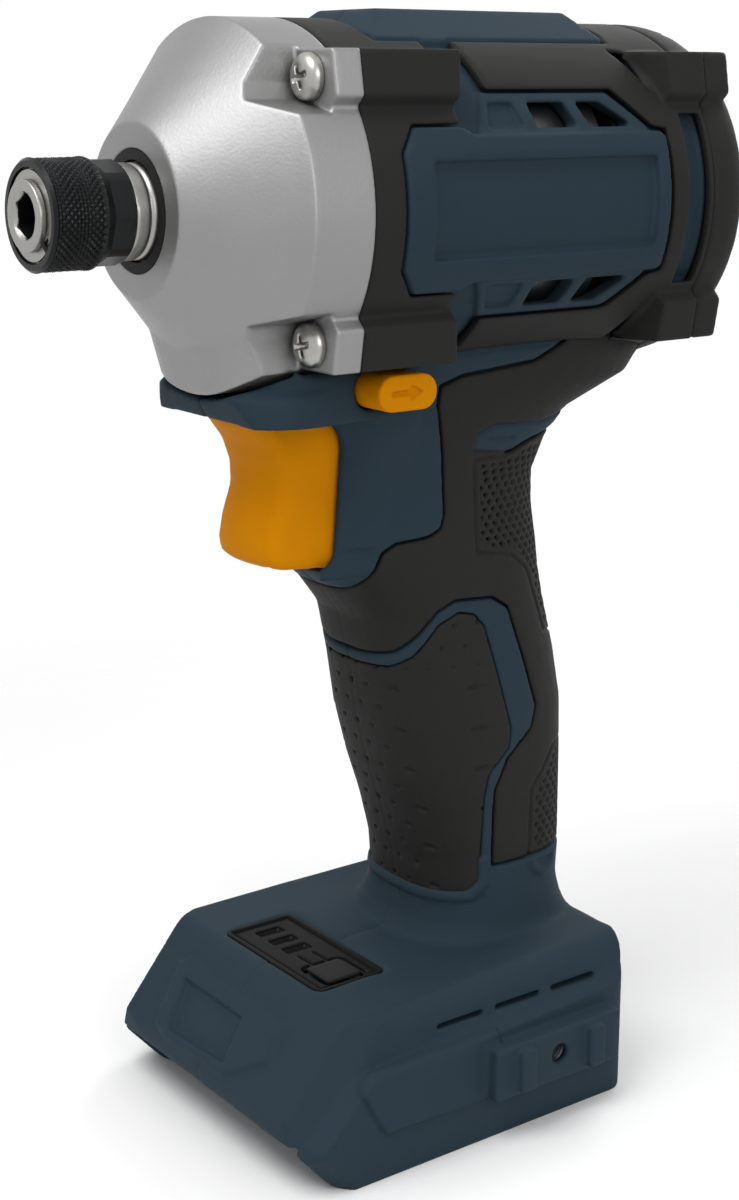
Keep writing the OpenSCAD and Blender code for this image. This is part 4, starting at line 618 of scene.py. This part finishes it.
room = CASE_ROOM - distances(["hammer_case"], low, block.shape, form.voxel)
corner = np.maximum(rounded(side, ahead, CHIN_CORNER), -CHIN_SKIN - before)
for face in (room, slant, bevel, CHIN_BOTTOM - z):
    corner = np.maximum(corner, face)
form.values[cuts] = np.minimum(block, corner)
print("chin ends at", SEAM_X + CHIN_AHEAD, "mm")

# %% [markdown]
# ## Soft edges of the housing
# One light pass rounds all edges as a tool's spark does. Where the grip grows out of the foot, the real form
# flows much more softly, so that region alone is smoothed many times. Nothing reaches below the floor.

# %% Soften the housing
FOOT_FLOW_LOW, FOOT_FLOW_HIGH = (-54, -27, 24), (10, 27, 41)
FOOT_FLOW_PASSES, FOOT_FLOW_MARGIN = 14, 4
form.values = soften(np.maximum(form.values, -form.z), passes=1)
soften_inside(form, FOOT_FLOW_LOW, FOOT_FLOW_HIGH, FOOT_FLOW_PASSES, FOOT_FLOW_MARGIN)
print("edges softened over about", round(2 * form.voxel, 1), "mm")

# %% [markdown]
# ## Joints of the housing
# Where rubber or the case meets the shell, the edge of the shell is sunk a little, so that a dark gap opens.
# The distance to the neighbour tells where. The same distance raises the lip round the palm pad.

# %% Open the joints
HOUSING_SKIN = 1.5
# Width, depth and slope of the gap beside rubber and beside the cast case.
RUBBER_GAP, CASE_GAP = (0.45, 0.5, 0.3), (0.9, 0.9, 0.4)
RIM_WIDTH, RIM_RISE, RIM_SLOPE, RIM_TOP = 1.7, 0.6, 0.4, 46.0
SEAM_DEPTH, SEAM_WIDTH = 0.12, 0.8
RUBBER_KINDS, SIDES = ("front_bumper", "rear_bumper", "grip_skin"), ("_left", "_right")
index, x, y, z = skin_points(form, HOUSING_SKIN)


def beside(*names):
    """Distance in mm from the points of the skin to some CAD nodes."""
    return distances(names, form.low, form.values.shape, form.voxel)[index]


def gap(sizes, *names):
    """A gap of that width, depth and slope, beside some CAD nodes."""
    width, depth, slope = sizes
    return depth * ramp(beside(*names) - width, slope)


gaps = gap(RUBBER_GAP, *[kind + side for kind in RUBBER_KINDS for side in SIDES])
gaps += gap(CASE_GAP, "hammer_case") * (z < AXIS_Z)
rim = RIM_RISE * ramp(beside("grip_pad_left", "grip_pad_right") - RIM_WIDTH, RIM_SLOPE) * (z < RIM_TOP)
seam = SEAM_DEPTH * groove(y, SEAM_WIDTH)
print("points near the skin:", len(x))

# %% [markdown]
# ## Relief of the foot
# The front face of the foot carries a raised frame with a sunk plate. On each skirt, a thin plate with a line
# round it lies in front of the hook boss. Behind the grip, a small tab with a slot ends the lower palm
# texture.

# %% Emboss the foot
# On the front face, across and up in mm: the frame and the plate in it.
NOSE_FRAME = [(-19.5, 15.0), (-16.6, 3.4), (-12.9, 2.0), (7.5, 2.6), (16.0, 9.0), (15.0, 16.3), (-17.5, 16.6)]
NOSE_PLATE = [(-15.3, 13.0), (4.3, 12.8), (6.0, 4.6), (-12.2, 3.8)]
NOSE_RISE, FRAME_SLOPE, NOSE_SINK, NOSE_SLOPE, NOSE_NEAR = 0.8, 0.8, 1.1, 0.5, 1.4
# Seen from the side, in mm: the plate of the skirt, and the tab with its slot.
PLATE = [(23.4, 17.4), (18.7, 8.8), (-6.0, 8.7), (-6.0, 24.0), (20.0, 24.0)]
PLATE_RISE, PLATE_SLOPE, PLATE_LINE, PLATE_LINE_DEPTH = 0.8, 0.4, 0.9, 0.45
PLATE_INSIDE, PLATE_OUTSIDE, PLATE_TOP = SKIRT_Y - 1.2, SKIRT_Y + 1, 21
LOWER_TAB = [
    (-26.0, 44.4), (-26.2, 42.5), (-27.4, 40.6), (-29.6, 39.7), (-32.0, 39.9), (-33.6, 41.2), (-34.0, 44.4)
]
TAB_SLOT = [(-28.0, 43.2), (-28.8, 41.9), (-30.6, 41.3), (-32.0, 41.9), (-32.4, 43.2)]
TAB_RISE, TAB_SINK, TAB_SLOPE = 0.6, 0.7, 0.5
out, up = nose_place(x, z)
nose = NOSE_SINK * ramp(outline(NOSE_PLATE, y, up), NOSE_SLOPE)
nose -= NOSE_RISE * ramp(outline(NOSE_FRAME, y, up), FRAME_SLOPE)
plate_edge = outline(PLATE, form.x[:, 0], form.z[0])[index[0], index[2]]
plate = PLATE_LINE_DEPTH * groove(plate_edge - PLATE_LINE / 2, PLATE_LINE)
plate -= PLATE_RISE * ramp(plate_edge, PLATE_SLOPE)
on_skirt = (np.abs(y) > PLATE_INSIDE) & (np.abs(y) < PLATE_OUTSIDE) & (z < PLATE_TOP)
tab = TAB_SINK * ramp(outline(TAB_SLOT, x, z), TAB_SLOPE)
tab -= TAB_RISE * ramp(outline(LOWER_TAB, x, z), TAB_SLOPE)
relief = seam + plate * on_skirt + nose * (np.abs(out) < NOSE_NEAR) - rim + tab + gaps
form.values[index] += relief.astype(np.float32)
shell("housing_moulded", form, nylon, "tool_body", housing_nodes, thrift=0.04, shade_passes=1)

# %% [markdown]
# ## Rubber bumpers and rear cover
# These are moulded over the shell. Their edges are rounder than those of the hard plastic, so that a dark
# groove opens between the two. In front of each rear lug the rubber is hollowed out.

# %% Mould the bumpers and the cover
# The hollow seen from the side, in mm above or below the drive axis.
LUG_HOLLOW = [(-40.5, 25.0), (-44.2, 24.6), (-44.2, 18.4)]
HOLLOW_DEPTH, HOLLOW_SLOPE, HOLLOW_Y, BUMPER_SKIN = 0.7, 0.5, 12.0, 1.6
for node in ("front_bumper_left", "front_bumper_right", "rear_bumper_left", "rear_bumper_right"):
    form = field([node], voxel=0.26, passes=1)
    index, x, y, z = skin_points(form, BUMPER_SKIN)
    hollow = ramp(outline(LUG_HOLLOW, x, np.abs(z - AXIS_Z)), HOLLOW_SLOPE) * (np.abs(y) > HOLLOW_Y)
    form.values[index] += (HOLLOW_DEPTH * hollow).astype(np.float32)
    shell(node + "_moulded", form, rubber, "tool_body", [node], thrift=0.05, shade_passes=1)
shell("rear_cover_moulded", field(["rear_cover"], voxel=0.36, passes=2), rubber, "tool_body", ["rear_cover"])

# %% [markdown]
# ## Grip skin
# The rubber of the grip carries two textured pads at the back, where the web of the thumb and the palm
# press. Their texture is a lattice of small sunk diamonds inside a framing groove. It is laid out by the arc
# length round the back of the grip, so that the diamonds keep their size where the skin turns away.

# %% Lay a lattice round the grip
BACK_RADIUS = 17.0


def round_back(form, x, y, index):
    """Arc length in mm round the back of the grip, nought on its middle line."""
    middle = np.argmin(np.abs(form.y.ravel()))
    solid = form.values[:, middle, :] < 0
    back = form.x.ravel()[np.argmax(solid, 0)]
    return BACK_RADIUS * np.arctan2(y, back[index[2]] + BACK_RADIUS - x)


def lattice(u, v, step_u, step_v):
    """Distances to the nearest point of a staggered lattice, along both directions."""
    row = np.round(v / step_v)
    shifted = u + (row % 2) * step_u / 2
    return shifted - np.round(shifted / step_u) * step_u, v - row * step_v


grip_nodes = ["grip_skin_left", "grip_skin_right"]
form = field(grip_nodes, voxel=0.26, passes=3)
index, x, y, z = skin_points(form, depth=1.2)
u = round_back(form, x, y, index)
print("the skin runs", round(float(u.max() - u.min()), 1), "mm round the grip")

# %% [markdown]
# Pads and tab are outlines in the side view. Inside a pad, the nearest diamond sinks each point of the skin.
# The tab gets the blue of the shell as a second material on the same skin.

# %% Mould the grip skin
UPPER_PAD = [
    (-11.5, 121.5), (-12.7, 104.7), (-21.2, 103.0), (-25.6, 99.5), (-30.4, 87.0),
    (-60, 80.0), (-60, 128.0), (-25.3, 123.4), (-18.4, 121.5),
]
UPPER_TAB = [
    (-11.3, 123.3), (-11.9, 125.6), (-15.7, 127.1), (-27.0, 126.4),
    (-60, 129.0), (-60, 126.0), (-25.3, 123.4), (-20.1, 121.9),
]
LOWER_PAD = [(-60, 66.0), (-32.9, 64.6), (-26.6, 57.7), (-26.4, 43.8), (-34.0, 43.2), (-60, 42.0)]
PAD_FRAME, PAD_SLOPE, PAD_LINE, PAD_LINE_DEPTH = 1.3, 0.3, 0.9, 0.45
DIAMOND_ROUND, DIAMOND_UP, DIAMOND_HALF, DIAMOND_DEPTH = 2.1, 1.35, 0.8, 0.9
TAB_DASH = [(-14.6, 125.0), (-20.5, 124.5)]
du, dv = lattice(u, z, DIAMOND_ROUND, DIAMOND_UP)
diamond = np.clip(1 - (np.abs(du) + np.abs(dv)) / DIAMOND_HALF, 0, 1)
relief = np.zeros_like(x)
for pad in (UPPER_PAD, LOWER_PAD):
    edge = outline(pad, form.x[:, 0], form.z[0])[index[0], index[2]]
    relief += PAD_LINE_DEPTH * groove(edge, PAD_LINE)
    relief += DIAMOND_DEPTH * diamond * ramp(edge + PAD_FRAME, PAD_SLOPE)
tab_edge = outline(UPPER_TAB, form.x[:, 0], form.z[0])
relief += PAD_LINE_DEPTH * groove(tab_edge[index[0], index[2]], PAD_LINE)
relief += PAD_LINE_DEPTH * groove(outline(TAB_DASH, x, z), PAD_LINE)
form.values[index] += relief.astype(np.float32)
points, faces, normals = skin(form, thrift=0.05, shade_passes=0)
grip = piece("grip_skin_moulded", points, faces, [rubber, nylon], "tool_body", grip_nodes, normals)
middles = face_middles(grip)
second_material(grip, outline(UPPER_TAB, middles[:, 0], middles[:, 2]) < 0)

# %% [markdown]
# ## Palm pad
# The pad under the fingers is dotted with small round dimples in staggered rows, made like the diamonds.

# %% Mould the palm pad
DIMPLE_ROUND, DIMPLE_UP, DIMPLE_RADIUS, DIMPLE_DEPTH = 4.4, 4.0, 0.46, 0.45
# Above one, so that the bottom of a dimple is a small flat.
DIMPLE_FLAT = 1.3
pad_nodes = ["grip_pad_left", "grip_pad_right"]
form = field(pad_nodes, voxel=0.26, passes=3)
index, x, y, z = skin_points(form, depth=1.0)
du, dv = lattice(round_back(form, x, y, index), z, DIMPLE_ROUND, DIMPLE_UP)
dimple = np.clip(DIMPLE_FLAT - np.hypot(du, dv) / DIMPLE_RADIUS, 0, 1)
form.values[index] += (DIMPLE_DEPTH * dimple).astype(np.float32)
shell("grip_pad_moulded", form, rubber, "tool_body", pad_nodes, thrift=0.05, shade_passes=0)

# %% [markdown]
# ## Hammer case
# A pressure die casting: its edges are tighter than those of the plastic, and it keeps a crisp rim where
# the nose face was turned. Its large curved faces show every flaw in the shading, so hardly any faces are
# saved on it.

# %% Cast the hammer case
form = field(["hammer_case"], voxel=0.22, passes=1)
shell("hammer_case_cast", form, casting, "tool_body", ["hammer_case"], thrift=0.004, shade_passes=1)

# %% [markdown]
# ## Trigger
# The trigger is orange acetal with a hollow front for the finger and large soft edges. It is computed, to be
# smooth: a front from a table of heights that bulges in the middle, sides that widen backwards, and a slightly
# slanted lower face. The pocket for plunger and spring comes from the CAD shape.

# %% Mould the trigger
# How far the front lies ahead of the back, at heights above the lower end, in mm.
TRIGGER_HEIGHTS = [0, 1.6, 2.8, 5.2, 9.4, 14.2, 18.2, 22.4, 25.9, 27.0]
TRIGGER_FRONTS = [18.4, 19.8, 20.9, 21.3, 20.4, 18.7, 18.8, 20.3, 22.9, 23.9]
TRIGGER_HALF, TRIGGER_NARROW, TRIGGER_TAPER, TRIGGER_BULGE = 10.5, 8.5, 0.16, 2.0
TRIGGER_EDGE, TRIGGER_LOW_EDGE, TRIGGER_TILT, TRIGGER_LIFT = 1.6, 1.3, 0.05, 0.8
POCKET_RADIUS, POCKET_DEEP = 6, 11
back_x, top_z = trigger_box[0][0], trigger_box[1][2]
form = field(["trigger"], voxel=0.22)
height = form.z - trigger_low
front = back_x + np.interp(height, TRIGGER_HEIGHTS, TRIGGER_FRONTS)
ahead = form.x - front + TRIGGER_BULGE * (form.y / TRIGGER_NARROW) ** 2
half = np.minimum(TRIGGER_NARROW + TRIGGER_TAPER * (front - form.x), TRIGGER_HALF)
lower = TRIGGER_LIFT + TRIGGER_TILT * (form.x - cheek_x) - height
solid = rounded(rounded(ahead, np.abs(form.y) - half, TRIGGER_EDGE), lower, TRIGGER_LOW_EDGE)
solid = np.maximum(np.maximum(solid, back_x - form.x), form.z - top_z)
off_middle = np.hypot(form.y, height - TRIGGER_HEIGHTS[-1] / 2)
pocket = (form.values > 0) & (off_middle < POCKET_RADIUS) & (form.x < back_x + POCKET_DEEP)
solid = np.where(pocket, np.maximum(solid, form.values), solid)
form.values = soften(banded(solid, form.voxel), passes=2)
shell("trigger_moulded", form, acetal, "trigger", ["trigger"])

# %% [markdown]
# ## Direction selector
# A bar of the same acetal runs through the neck from side to side. It keeps a tighter edge round its end
# faces, and the arrow on each of them is sunk, so a fine grid is used.

# %% Mould the selector
form = field(["selector"], voxel=0.16, passes=2)
shell("selector_moulded", form, acetal, "selector", ["selector"], thrift=0.05, shade_passes=1)

# %% [markdown]
# ## Turned pieces
# A turned piece is a profile that goes round an axis. A screw modifier could do that, but the radius has to
# change with the angle too, for a knurl or a flat, so the points are computed.


# %% Turn a profile
def lathe(profile, steps, radius):
    """Turn a closed profile of (place, radius) pairs; radius(place, radius, angle) may reshape it."""
    angles = np.arange(steps) * math.tau / steps
    along = np.array([p[0] for p in profile])[:, None] + 0 * angles
    far = radius(along, np.array([p[1] for p in profile])[:, None], angles[None, :])
    points = np.stack([along, far * np.cos(angles), far * np.sin(angles)], -1).reshape(-1, 3)
    rings = [[i * steps + j for j in range(steps)] for i in range(len(profile))]
    faces = []
    for ring, after in zip(rings, rings[1:] + rings[:1]):
        faces += [(ring[j], ring[(j + 1) % steps], after[(j + 1) % steps], after[j]) for j in range(steps)]
    return points, faces


# %% [markdown]
# ## Chuck sleeve
# The sleeve is turned from bar, knurled and blackened. Knurling rolls two sets of crossing grooves into the
# steel, which leaves rows of small pyramids. Behind the knurl the sleeve tapers to a waist with eight flats.
# It is built as it is made: a turned profile, then pressed in by the knurl or cut by the flats.

# %% Turn and knurl the sleeve
KNURL_BACK, KNURL_FRONT, KNURL_STEP = 54.4, 62.2, 0.2
KNURL_TEETH, KNURL_DEPTH, KNURL_LEAD, TOOTH_STEPS = 46, 0.5, 1.25, 4
SLEEVE_RADIUS, WAIST_RADIUS, WAIST_END, WAIST_FLATS, FLAT_COUNT = 8.8, 8.25, 53, 7.9, 8
# Places along the axis: the ends, the taper behind the knurl, and the narrow land inside; then the edges.
SLEEVE_BACK, SLEEVE_FRONT, TAPER_BACK, TAPER_FRONT, LAND_BACK, LAND_FRONT = 48.5, 63.0, 52.4, 53.8, 51.0, 54.0
BORE_RADIUS, LAND_RADIUS, FRONT_EDGE, BACK_EDGE, BACK_EDGE_LONG = 7.4, 5.7, 0.5, 0.25, 0.3


def wave(turns):
    """A triangle wave between nought and one."""
    return 1 - np.abs(2 * (turns - np.floor(turns)) - 1)


def sleeve_radius(along, radius, angle):
    """Press the knurl into the sleeve and cut the flats of its waist."""
    turn = angle / math.tau * KNURL_TEETH
    peak = np.minimum(wave(turn + along / KNURL_LEAD), wave(turn - along / KNURL_LEAD))
    knurled = (along >= KNURL_BACK) & (along <= KNURL_FRONT) & (radius > WAIST_RADIUS)
    part = math.tau / FLAT_COUNT
    flat = WAIST_FLATS / np.cos(np.mod(angle, part) - part / 2)
    waist = (along < WAIST_END) & (radius >= WAIST_RADIUS)
    plain = np.where(waist, np.minimum(radius, flat), radius + 0 * angle)
    return np.where(knurled, radius - KNURL_DEPTH * (1 - peak), plain)


knurl_steps = int(round((KNURL_FRONT - KNURL_BACK) / KNURL_STEP))
profile = [(SLEEVE_BACK, BORE_RADIUS), (SLEEVE_BACK, WAIST_RADIUS - BACK_EDGE)]
profile += [(SLEEVE_BACK + BACK_EDGE_LONG, WAIST_RADIUS), (TAPER_BACK, WAIST_RADIUS)]
profile += [(TAPER_FRONT, SLEEVE_RADIUS)]
profile += [(KNURL_BACK + KNURL_STEP * i, SLEEVE_RADIUS) for i in range(knurl_steps + 1)]
profile += [(SLEEVE_FRONT - FRONT_EDGE, SLEEVE_RADIUS), (SLEEVE_FRONT, SLEEVE_RADIUS - FRONT_EDGE)]
profile += [(SLEEVE_FRONT, BORE_RADIUS), (LAND_FRONT, BORE_RADIUS), (LAND_FRONT, LAND_RADIUS)]
profile += [(LAND_BACK, LAND_RADIUS), (LAND_BACK, BORE_RADIUS)]
points, faces = lathe(profile, KNURL_TEETH * TOOTH_STEPS, sleeve_radius)
piece("chuck_sleeve_knurled", points + [0, 0, AXIS_Z], faces, [oxide], "chuck_sleeve", ["chuck_sleeve"])

# %% [markdown]
# ## Anvil
# The anvil is ground where it runs in the case. Its bright collar shows between sleeve and case, with a turned
# groove, and the hex mouth has a chamfer that leads the bit in. The broached hex bore behind it is never
# ground: it stays black from hardening.

# %% Grind the anvil
COLLAR_GROOVE_X, COLLAR_GROOVE_WIDTH, COLLAR_GROOVE_DEPTH, COLLAR_FLOOR = 45.6, 0.8, 0.4, 6.6
TIP_X, MOUTH_RADIUS, BORE_BACK = 64.0, 3.95, 0.7
form = field(["anvil"], voxel=0.16, passes=1)
off_axis = np.hypot(form.y, form.z - AXIS_Z)
mouth = (MOUTH_RADIUS - (TIP_X - form.x) - off_axis) * math.sqrt(0.5)
cut = COLLAR_GROOVE_DEPTH * groove(form.x - COLLAR_GROOVE_X, COLLAR_GROOVE_WIDTH) * (off_axis > COLLAR_FLOOR)
form.values = (np.maximum(form.values, mouth) + cut.astype(np.float32)).astype(np.float32)
points, faces, normals = skin(form, thrift=0.04, shade_passes=1)
anvil = piece("anvil_ground", points, faces, [steel, oxide], "anvil", ["anvil"], normals)
middles = face_middles(anvil) - [0, 0, AXIS_Z]
off_middle = np.hypot(middles[:, 1], middles[:, 2])
second_material(anvil, (off_middle < MOUTH_RADIUS) & (middles[:, 0] < TIP_X - BORE_BACK))

# %% [markdown]
# ## Case screws
# Four pan head screws with a cross recess hold the case. The recess is pressed in with a tapered punch, so its
# arms get narrower and shorter towards the bottom. One screw is computed as a field along its own axis.

# %% Press one screw
HEAD_RADIUS, HEAD_RISE, HEAD_EDGE, SHANK_RADIUS, SCREW_SEAT = 3.7, 2.6, 0.9, 1.95, 24.2
# How square the dome is, and the mean steepness that turns its height into a distance.
DOME_SQUARE, DOME_STEEP = 2.4, 0.85
# Reach and half width of an arm at the top, the floor of the recess, and the shares of both left down there.
CROSS_ARM, CROSS_HALF, CROSS_FLOOR, ARM_LEFT, HALF_LEFT = 2.15, 0.5, 0.8, 0.5, 0.55
voxel = 0.11 * COARSE
shank = SCREW_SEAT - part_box("case_screws")[0][0] / MM
low = np.floor(np.array([-shank, -HEAD_RADIUS, -HEAD_RADIUS]) / voxel).astype(int) - BAND
high = np.ceil(np.array([HEAD_RISE, HEAD_RADIUS, HEAD_RADIUS]) / voxel).astype(int) + BAND
t, u, v = grid_axes(low, high - low + 1, voxel)
r = np.hypot(u, v)
bow = np.sqrt(np.clip(1 - (r / HEAD_RADIUS) ** DOME_SQUARE, 0, 1))
dome = HEAD_EDGE + (HEAD_RISE - HEAD_EDGE) * bow
head = np.maximum(np.maximum(r - HEAD_RADIUS, (t - dome) * DOME_STEEP), -t)
depth = (t - CROSS_FLOOR) / (HEAD_RISE - CROSS_FLOOR)
half = CROSS_HALF * (HALF_LEFT + (1 - HALF_LEFT) * depth)
arm = CROSS_ARM * (ARM_LEFT + (1 - ARM_LEFT) * depth)
one_arm = np.maximum(np.abs(v) - half, np.abs(u) - arm)
other_arm = np.maximum(np.abs(u) - half, np.abs(v) - arm)
cross = np.maximum(np.minimum(one_arm, other_arm), CROSS_FLOOR - t)
stem = np.maximum(np.maximum(r - SHANK_RADIUS, -shank - t), t - HEAD_EDGE)
solid = np.minimum(np.maximum(head, -cross), stem)
form = SimpleNamespace(values=soften(banded(solid, voxel), passes=1), low=low, voxel=voxel)
points, faces, normals = skin(form, thrift=0.04, shade_passes=1)
print("one screw has", len(faces), "faces and is", round(float(shank + HEAD_RISE), 1), "mm long")

# %% [markdown]
# Nobody lines screws up, so each of the four is turned to another angle before it is set in its corner.

# %% Set the four screws
SCREW_Y, SCREW_Z = 20.1, 20.6
# Side and height of the corner, and the angle of the cross in degrees.
SCREW_TURNS = {(1, 1): 18, (1, -1): 12, (-1, 1): 51, (-1, -1): 74}
all_points, all_faces, all_normals = [], [], []
for (y_sign, z_sign), degrees in SCREW_TURNS.items():
    c, s = math.cos(math.radians(degrees)), math.sin(math.radians(degrees))
    spin = np.array([[1, 0, 0], [0, c, s], [0, -s, c]])
    all_faces += [tuple(i + len(all_points) * len(points) for i in face) for face in faces]
    all_points.append(points @ spin + [SCREW_SEAT, SCREW_Y * y_sign, AXIS_Z + SCREW_Z * z_sign])
    all_normals.append(normals @ spin)
spots, facing = np.vstack(all_points), np.vstack(all_normals)
piece("case_screws_plated", spots, all_faces, [zinc], "tool_body", ["case_screws"], facing)

# %% [markdown]
# ## Display panel
# A black film lies in a shallow frame. Three slots show the charge through smoked windows, which close them
# from below, and two lines lead to the button. Embossing sinks the film inside its rim and along the lines.

# %% Emboss the display panel
PANEL_X, PANEL_HALF_X, PANEL_HALF_Y, PANEL_RIM, PANEL_SINK, PANEL_SLOPE = 13.6, 7.5, 15.8, 1.0, 0.3, 0.3
PANEL_LINE, PANEL_LINE_DEPTH, PANEL_SKIN = 0.7, 0.5, 0.8
STEM_LINES = [[(12.0, 1.2), (12.0, 5.8)], [(15.3, 1.2), (15.3, 5.8)]]
STEM_WIDTH, STEM_DEPTH = 0.8, 0.8
# The windows: middle and half size in plan, and their heights.
LENS_X, LENS_Y, LENS_HALF_X, LENS_HALF_Y, LENS_LOW, LENS_HIGH = 12.6, -6.7, 3.4, 7.5, 27.6, 28.2
# How far above the windows the embossing starts, and how far up their material goes.
EMBOSS_ABOVE, LENS_ABOVE = 0.3, 0.5
form = field(["display_panel"], voxel=0.15, passes=1)
lens = np.maximum(np.abs(form.x - LENS_X) - LENS_HALF_X, np.abs(form.y - LENS_Y) - LENS_HALF_Y)
lens = np.maximum(lens, np.abs(form.z - (LENS_LOW + LENS_HIGH) / 2) - (LENS_HIGH - LENS_LOW) / 2)
form.values = np.minimum(form.values, lens).astype(np.float32)
index, x, y, z = skin_points(form, PANEL_SKIN)
inner_x, inner_y = PANEL_HALF_X - PANEL_RIM, PANEL_HALF_Y - PANEL_RIM
inner = [(PANEL_X + inner_x * i, inner_y * j) for i, j in ((-1, -1), (1, -1), (1, 1), (-1, 1))]
rim_edge = outline(inner, x, y)
relief = PANEL_SINK * ramp(rim_edge, PANEL_SLOPE)
relief += PANEL_LINE_DEPTH * groove(rim_edge + PANEL_LINE / 2, PANEL_LINE)
for line in STEM_LINES:
    relief += STEM_DEPTH * groove(outline(line, x, y), STEM_WIDTH)
form.values[index] += (relief * (z > LENS_HIGH + EMBOSS_ABOVE)).astype(np.float32)
points, faces, normals = skin(form, thrift=0.04, shade_passes=0)
panel = piece("display_panel_embossed", points, faces, [film, window], "tool_body", ["display_panel"], normals)
heights = face_middles(panel)[:, 2]
second_material(panel, (heights < LENS_HIGH + LENS_ABOVE) & (heights > LENS_LOW))

# %% [markdown]
# ## Mode button
# The button sits in the panel. Its top lies a little lower than in the CAD model, so that its edge does not
# stand proud of the film.

# %% Mould the mode button
BUTTON_SINK = 0.3
form = field(["mode_button"], voxel=0.13)
form.values = form.values + (BUTTON_SINK * (form.z > LENS_HIGH)).astype(np.float32)
form.values = soften(form.values, passes=2)
shell("mode_button_moulded", form, button_pad, "mode_button", ["mode_button"], thrift=0.05, shade_passes=1)

# %% [markdown]
# ## Hook inserts
# Threaded inserts of hardened steel are pressed into the bosses of the skirts. They show only as a dark thread
# in the hole, so rings of changing radius draw it well enough.

# %% Turn the threaded inserts
INSERT_DEEP, INSERT_SETBACK, INSERT_RADIUS, INSERT_STEPS = 6.0, 1.3, 2.9, 40
THREAD_PITCH, THREAD_DEPTH = 0.7, 0.22
turns = int((INSERT_DEEP - INSERT_SETBACK) / THREAD_PITCH)
bore = [
    (INSERT_SETBACK + THREAD_PITCH * i / 2, HOOK_HOLE + THREAD_DEPTH * (i % 2)) for i in range(turns * 2 + 1)
]
profile = bore + [(bore[-1][0], INSERT_RADIUS), (INSERT_SETBACK, INSERT_RADIUS)]
points, faces = lathe(profile, INSERT_STEPS, lambda along, radius, angle: radius + 0 * angle)
left = np.stack([points[:, 1] + HOOK_X, HOOK_FACE - points[:, 0], points[:, 2] + HOOK_Z], 1)
both = np.vstack([left, left * [1, -1, 1]])
both_faces = faces + [tuple(i + len(left) for i in face[::-1]) for face in faces]
piece("hook_inserts_turned", both, both_faces, [hard_steel], "tool_body", ["hook_inserts"])

# %% [markdown]
# ## Springs
# A spring joins two bodies: one end stays, the other goes with the piece it pushes. Each spring is a copy of
# its CAD coil in spring steel. It is not tied to these bodies, so it neither follows them nor closes up when
# hammer, sleeve or trigger move.

# %% Copy the springs
# The body at the still end, the moving body, and which end of the coil along X belongs to which.
SPRINGS = {
    "hammer_spring": ("drive", "hammer", 0, 1),
    "sleeve_spring": ("anvil", "chuck_sleeve", 1, 0),
    "trigger_spring": ("tool_body", "trigger", 0, 1),
}
for node, (still, moving, still_end, moving_end) in SPRINGS.items():
    coil = bpy.data.objects.new(node + "_wound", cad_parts[node].data.copy())
    bpy.context.scene.collection.objects.link(coil)
    coil.data.materials.clear()
    coil.data.materials.append(spring_steel)
    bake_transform(coil)
    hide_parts(node)


# %% [markdown]
# ## Exact metal and inner pieces
# Pieces whose CAD shape is already right keep it and only get their finish.

# %% Finishes of the CAD nodes
FINISHES = {
    steel: ["snap_ring", "spring_washer"],
    zinc: ["cover_screws", "housing_screws"],
    nitrile: ["nose_seal"],
    brass: ["terminal_blades"],
    bronze: ["anvil_bush"],
    hard_steel: [
        "hammer", "cam_shaft", "cam_balls", "detent_balls", "planet_pins", "planet_gear_1", "planet_gear_2",
        "planet_gear_3", "ring_gear", "rotor_shaft", "carrier_bearing", "front_bearing", "rear_bearing",
    ],
    laminate: ["rotor_core", "stator_core"],
    copper: ["stator_coils"],
    board: ["sensor_board"],
    dark_nylon: ["gear_plate", "fan", "switch_body", "trigger_plunger", "control_unit", "terminal_block"],
    lead_cover: ["motor_leads"],
}
for material, nodes in FINISHES.items():
    for node in nodes:
        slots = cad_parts[node].data.materials
        slots.clear()
        slots.append(material)
print("finished CAD nodes:", sum(len(nodes) for nodes in FINISHES.values()))

# %% Update the scene
bpy.context.view_layer.update()
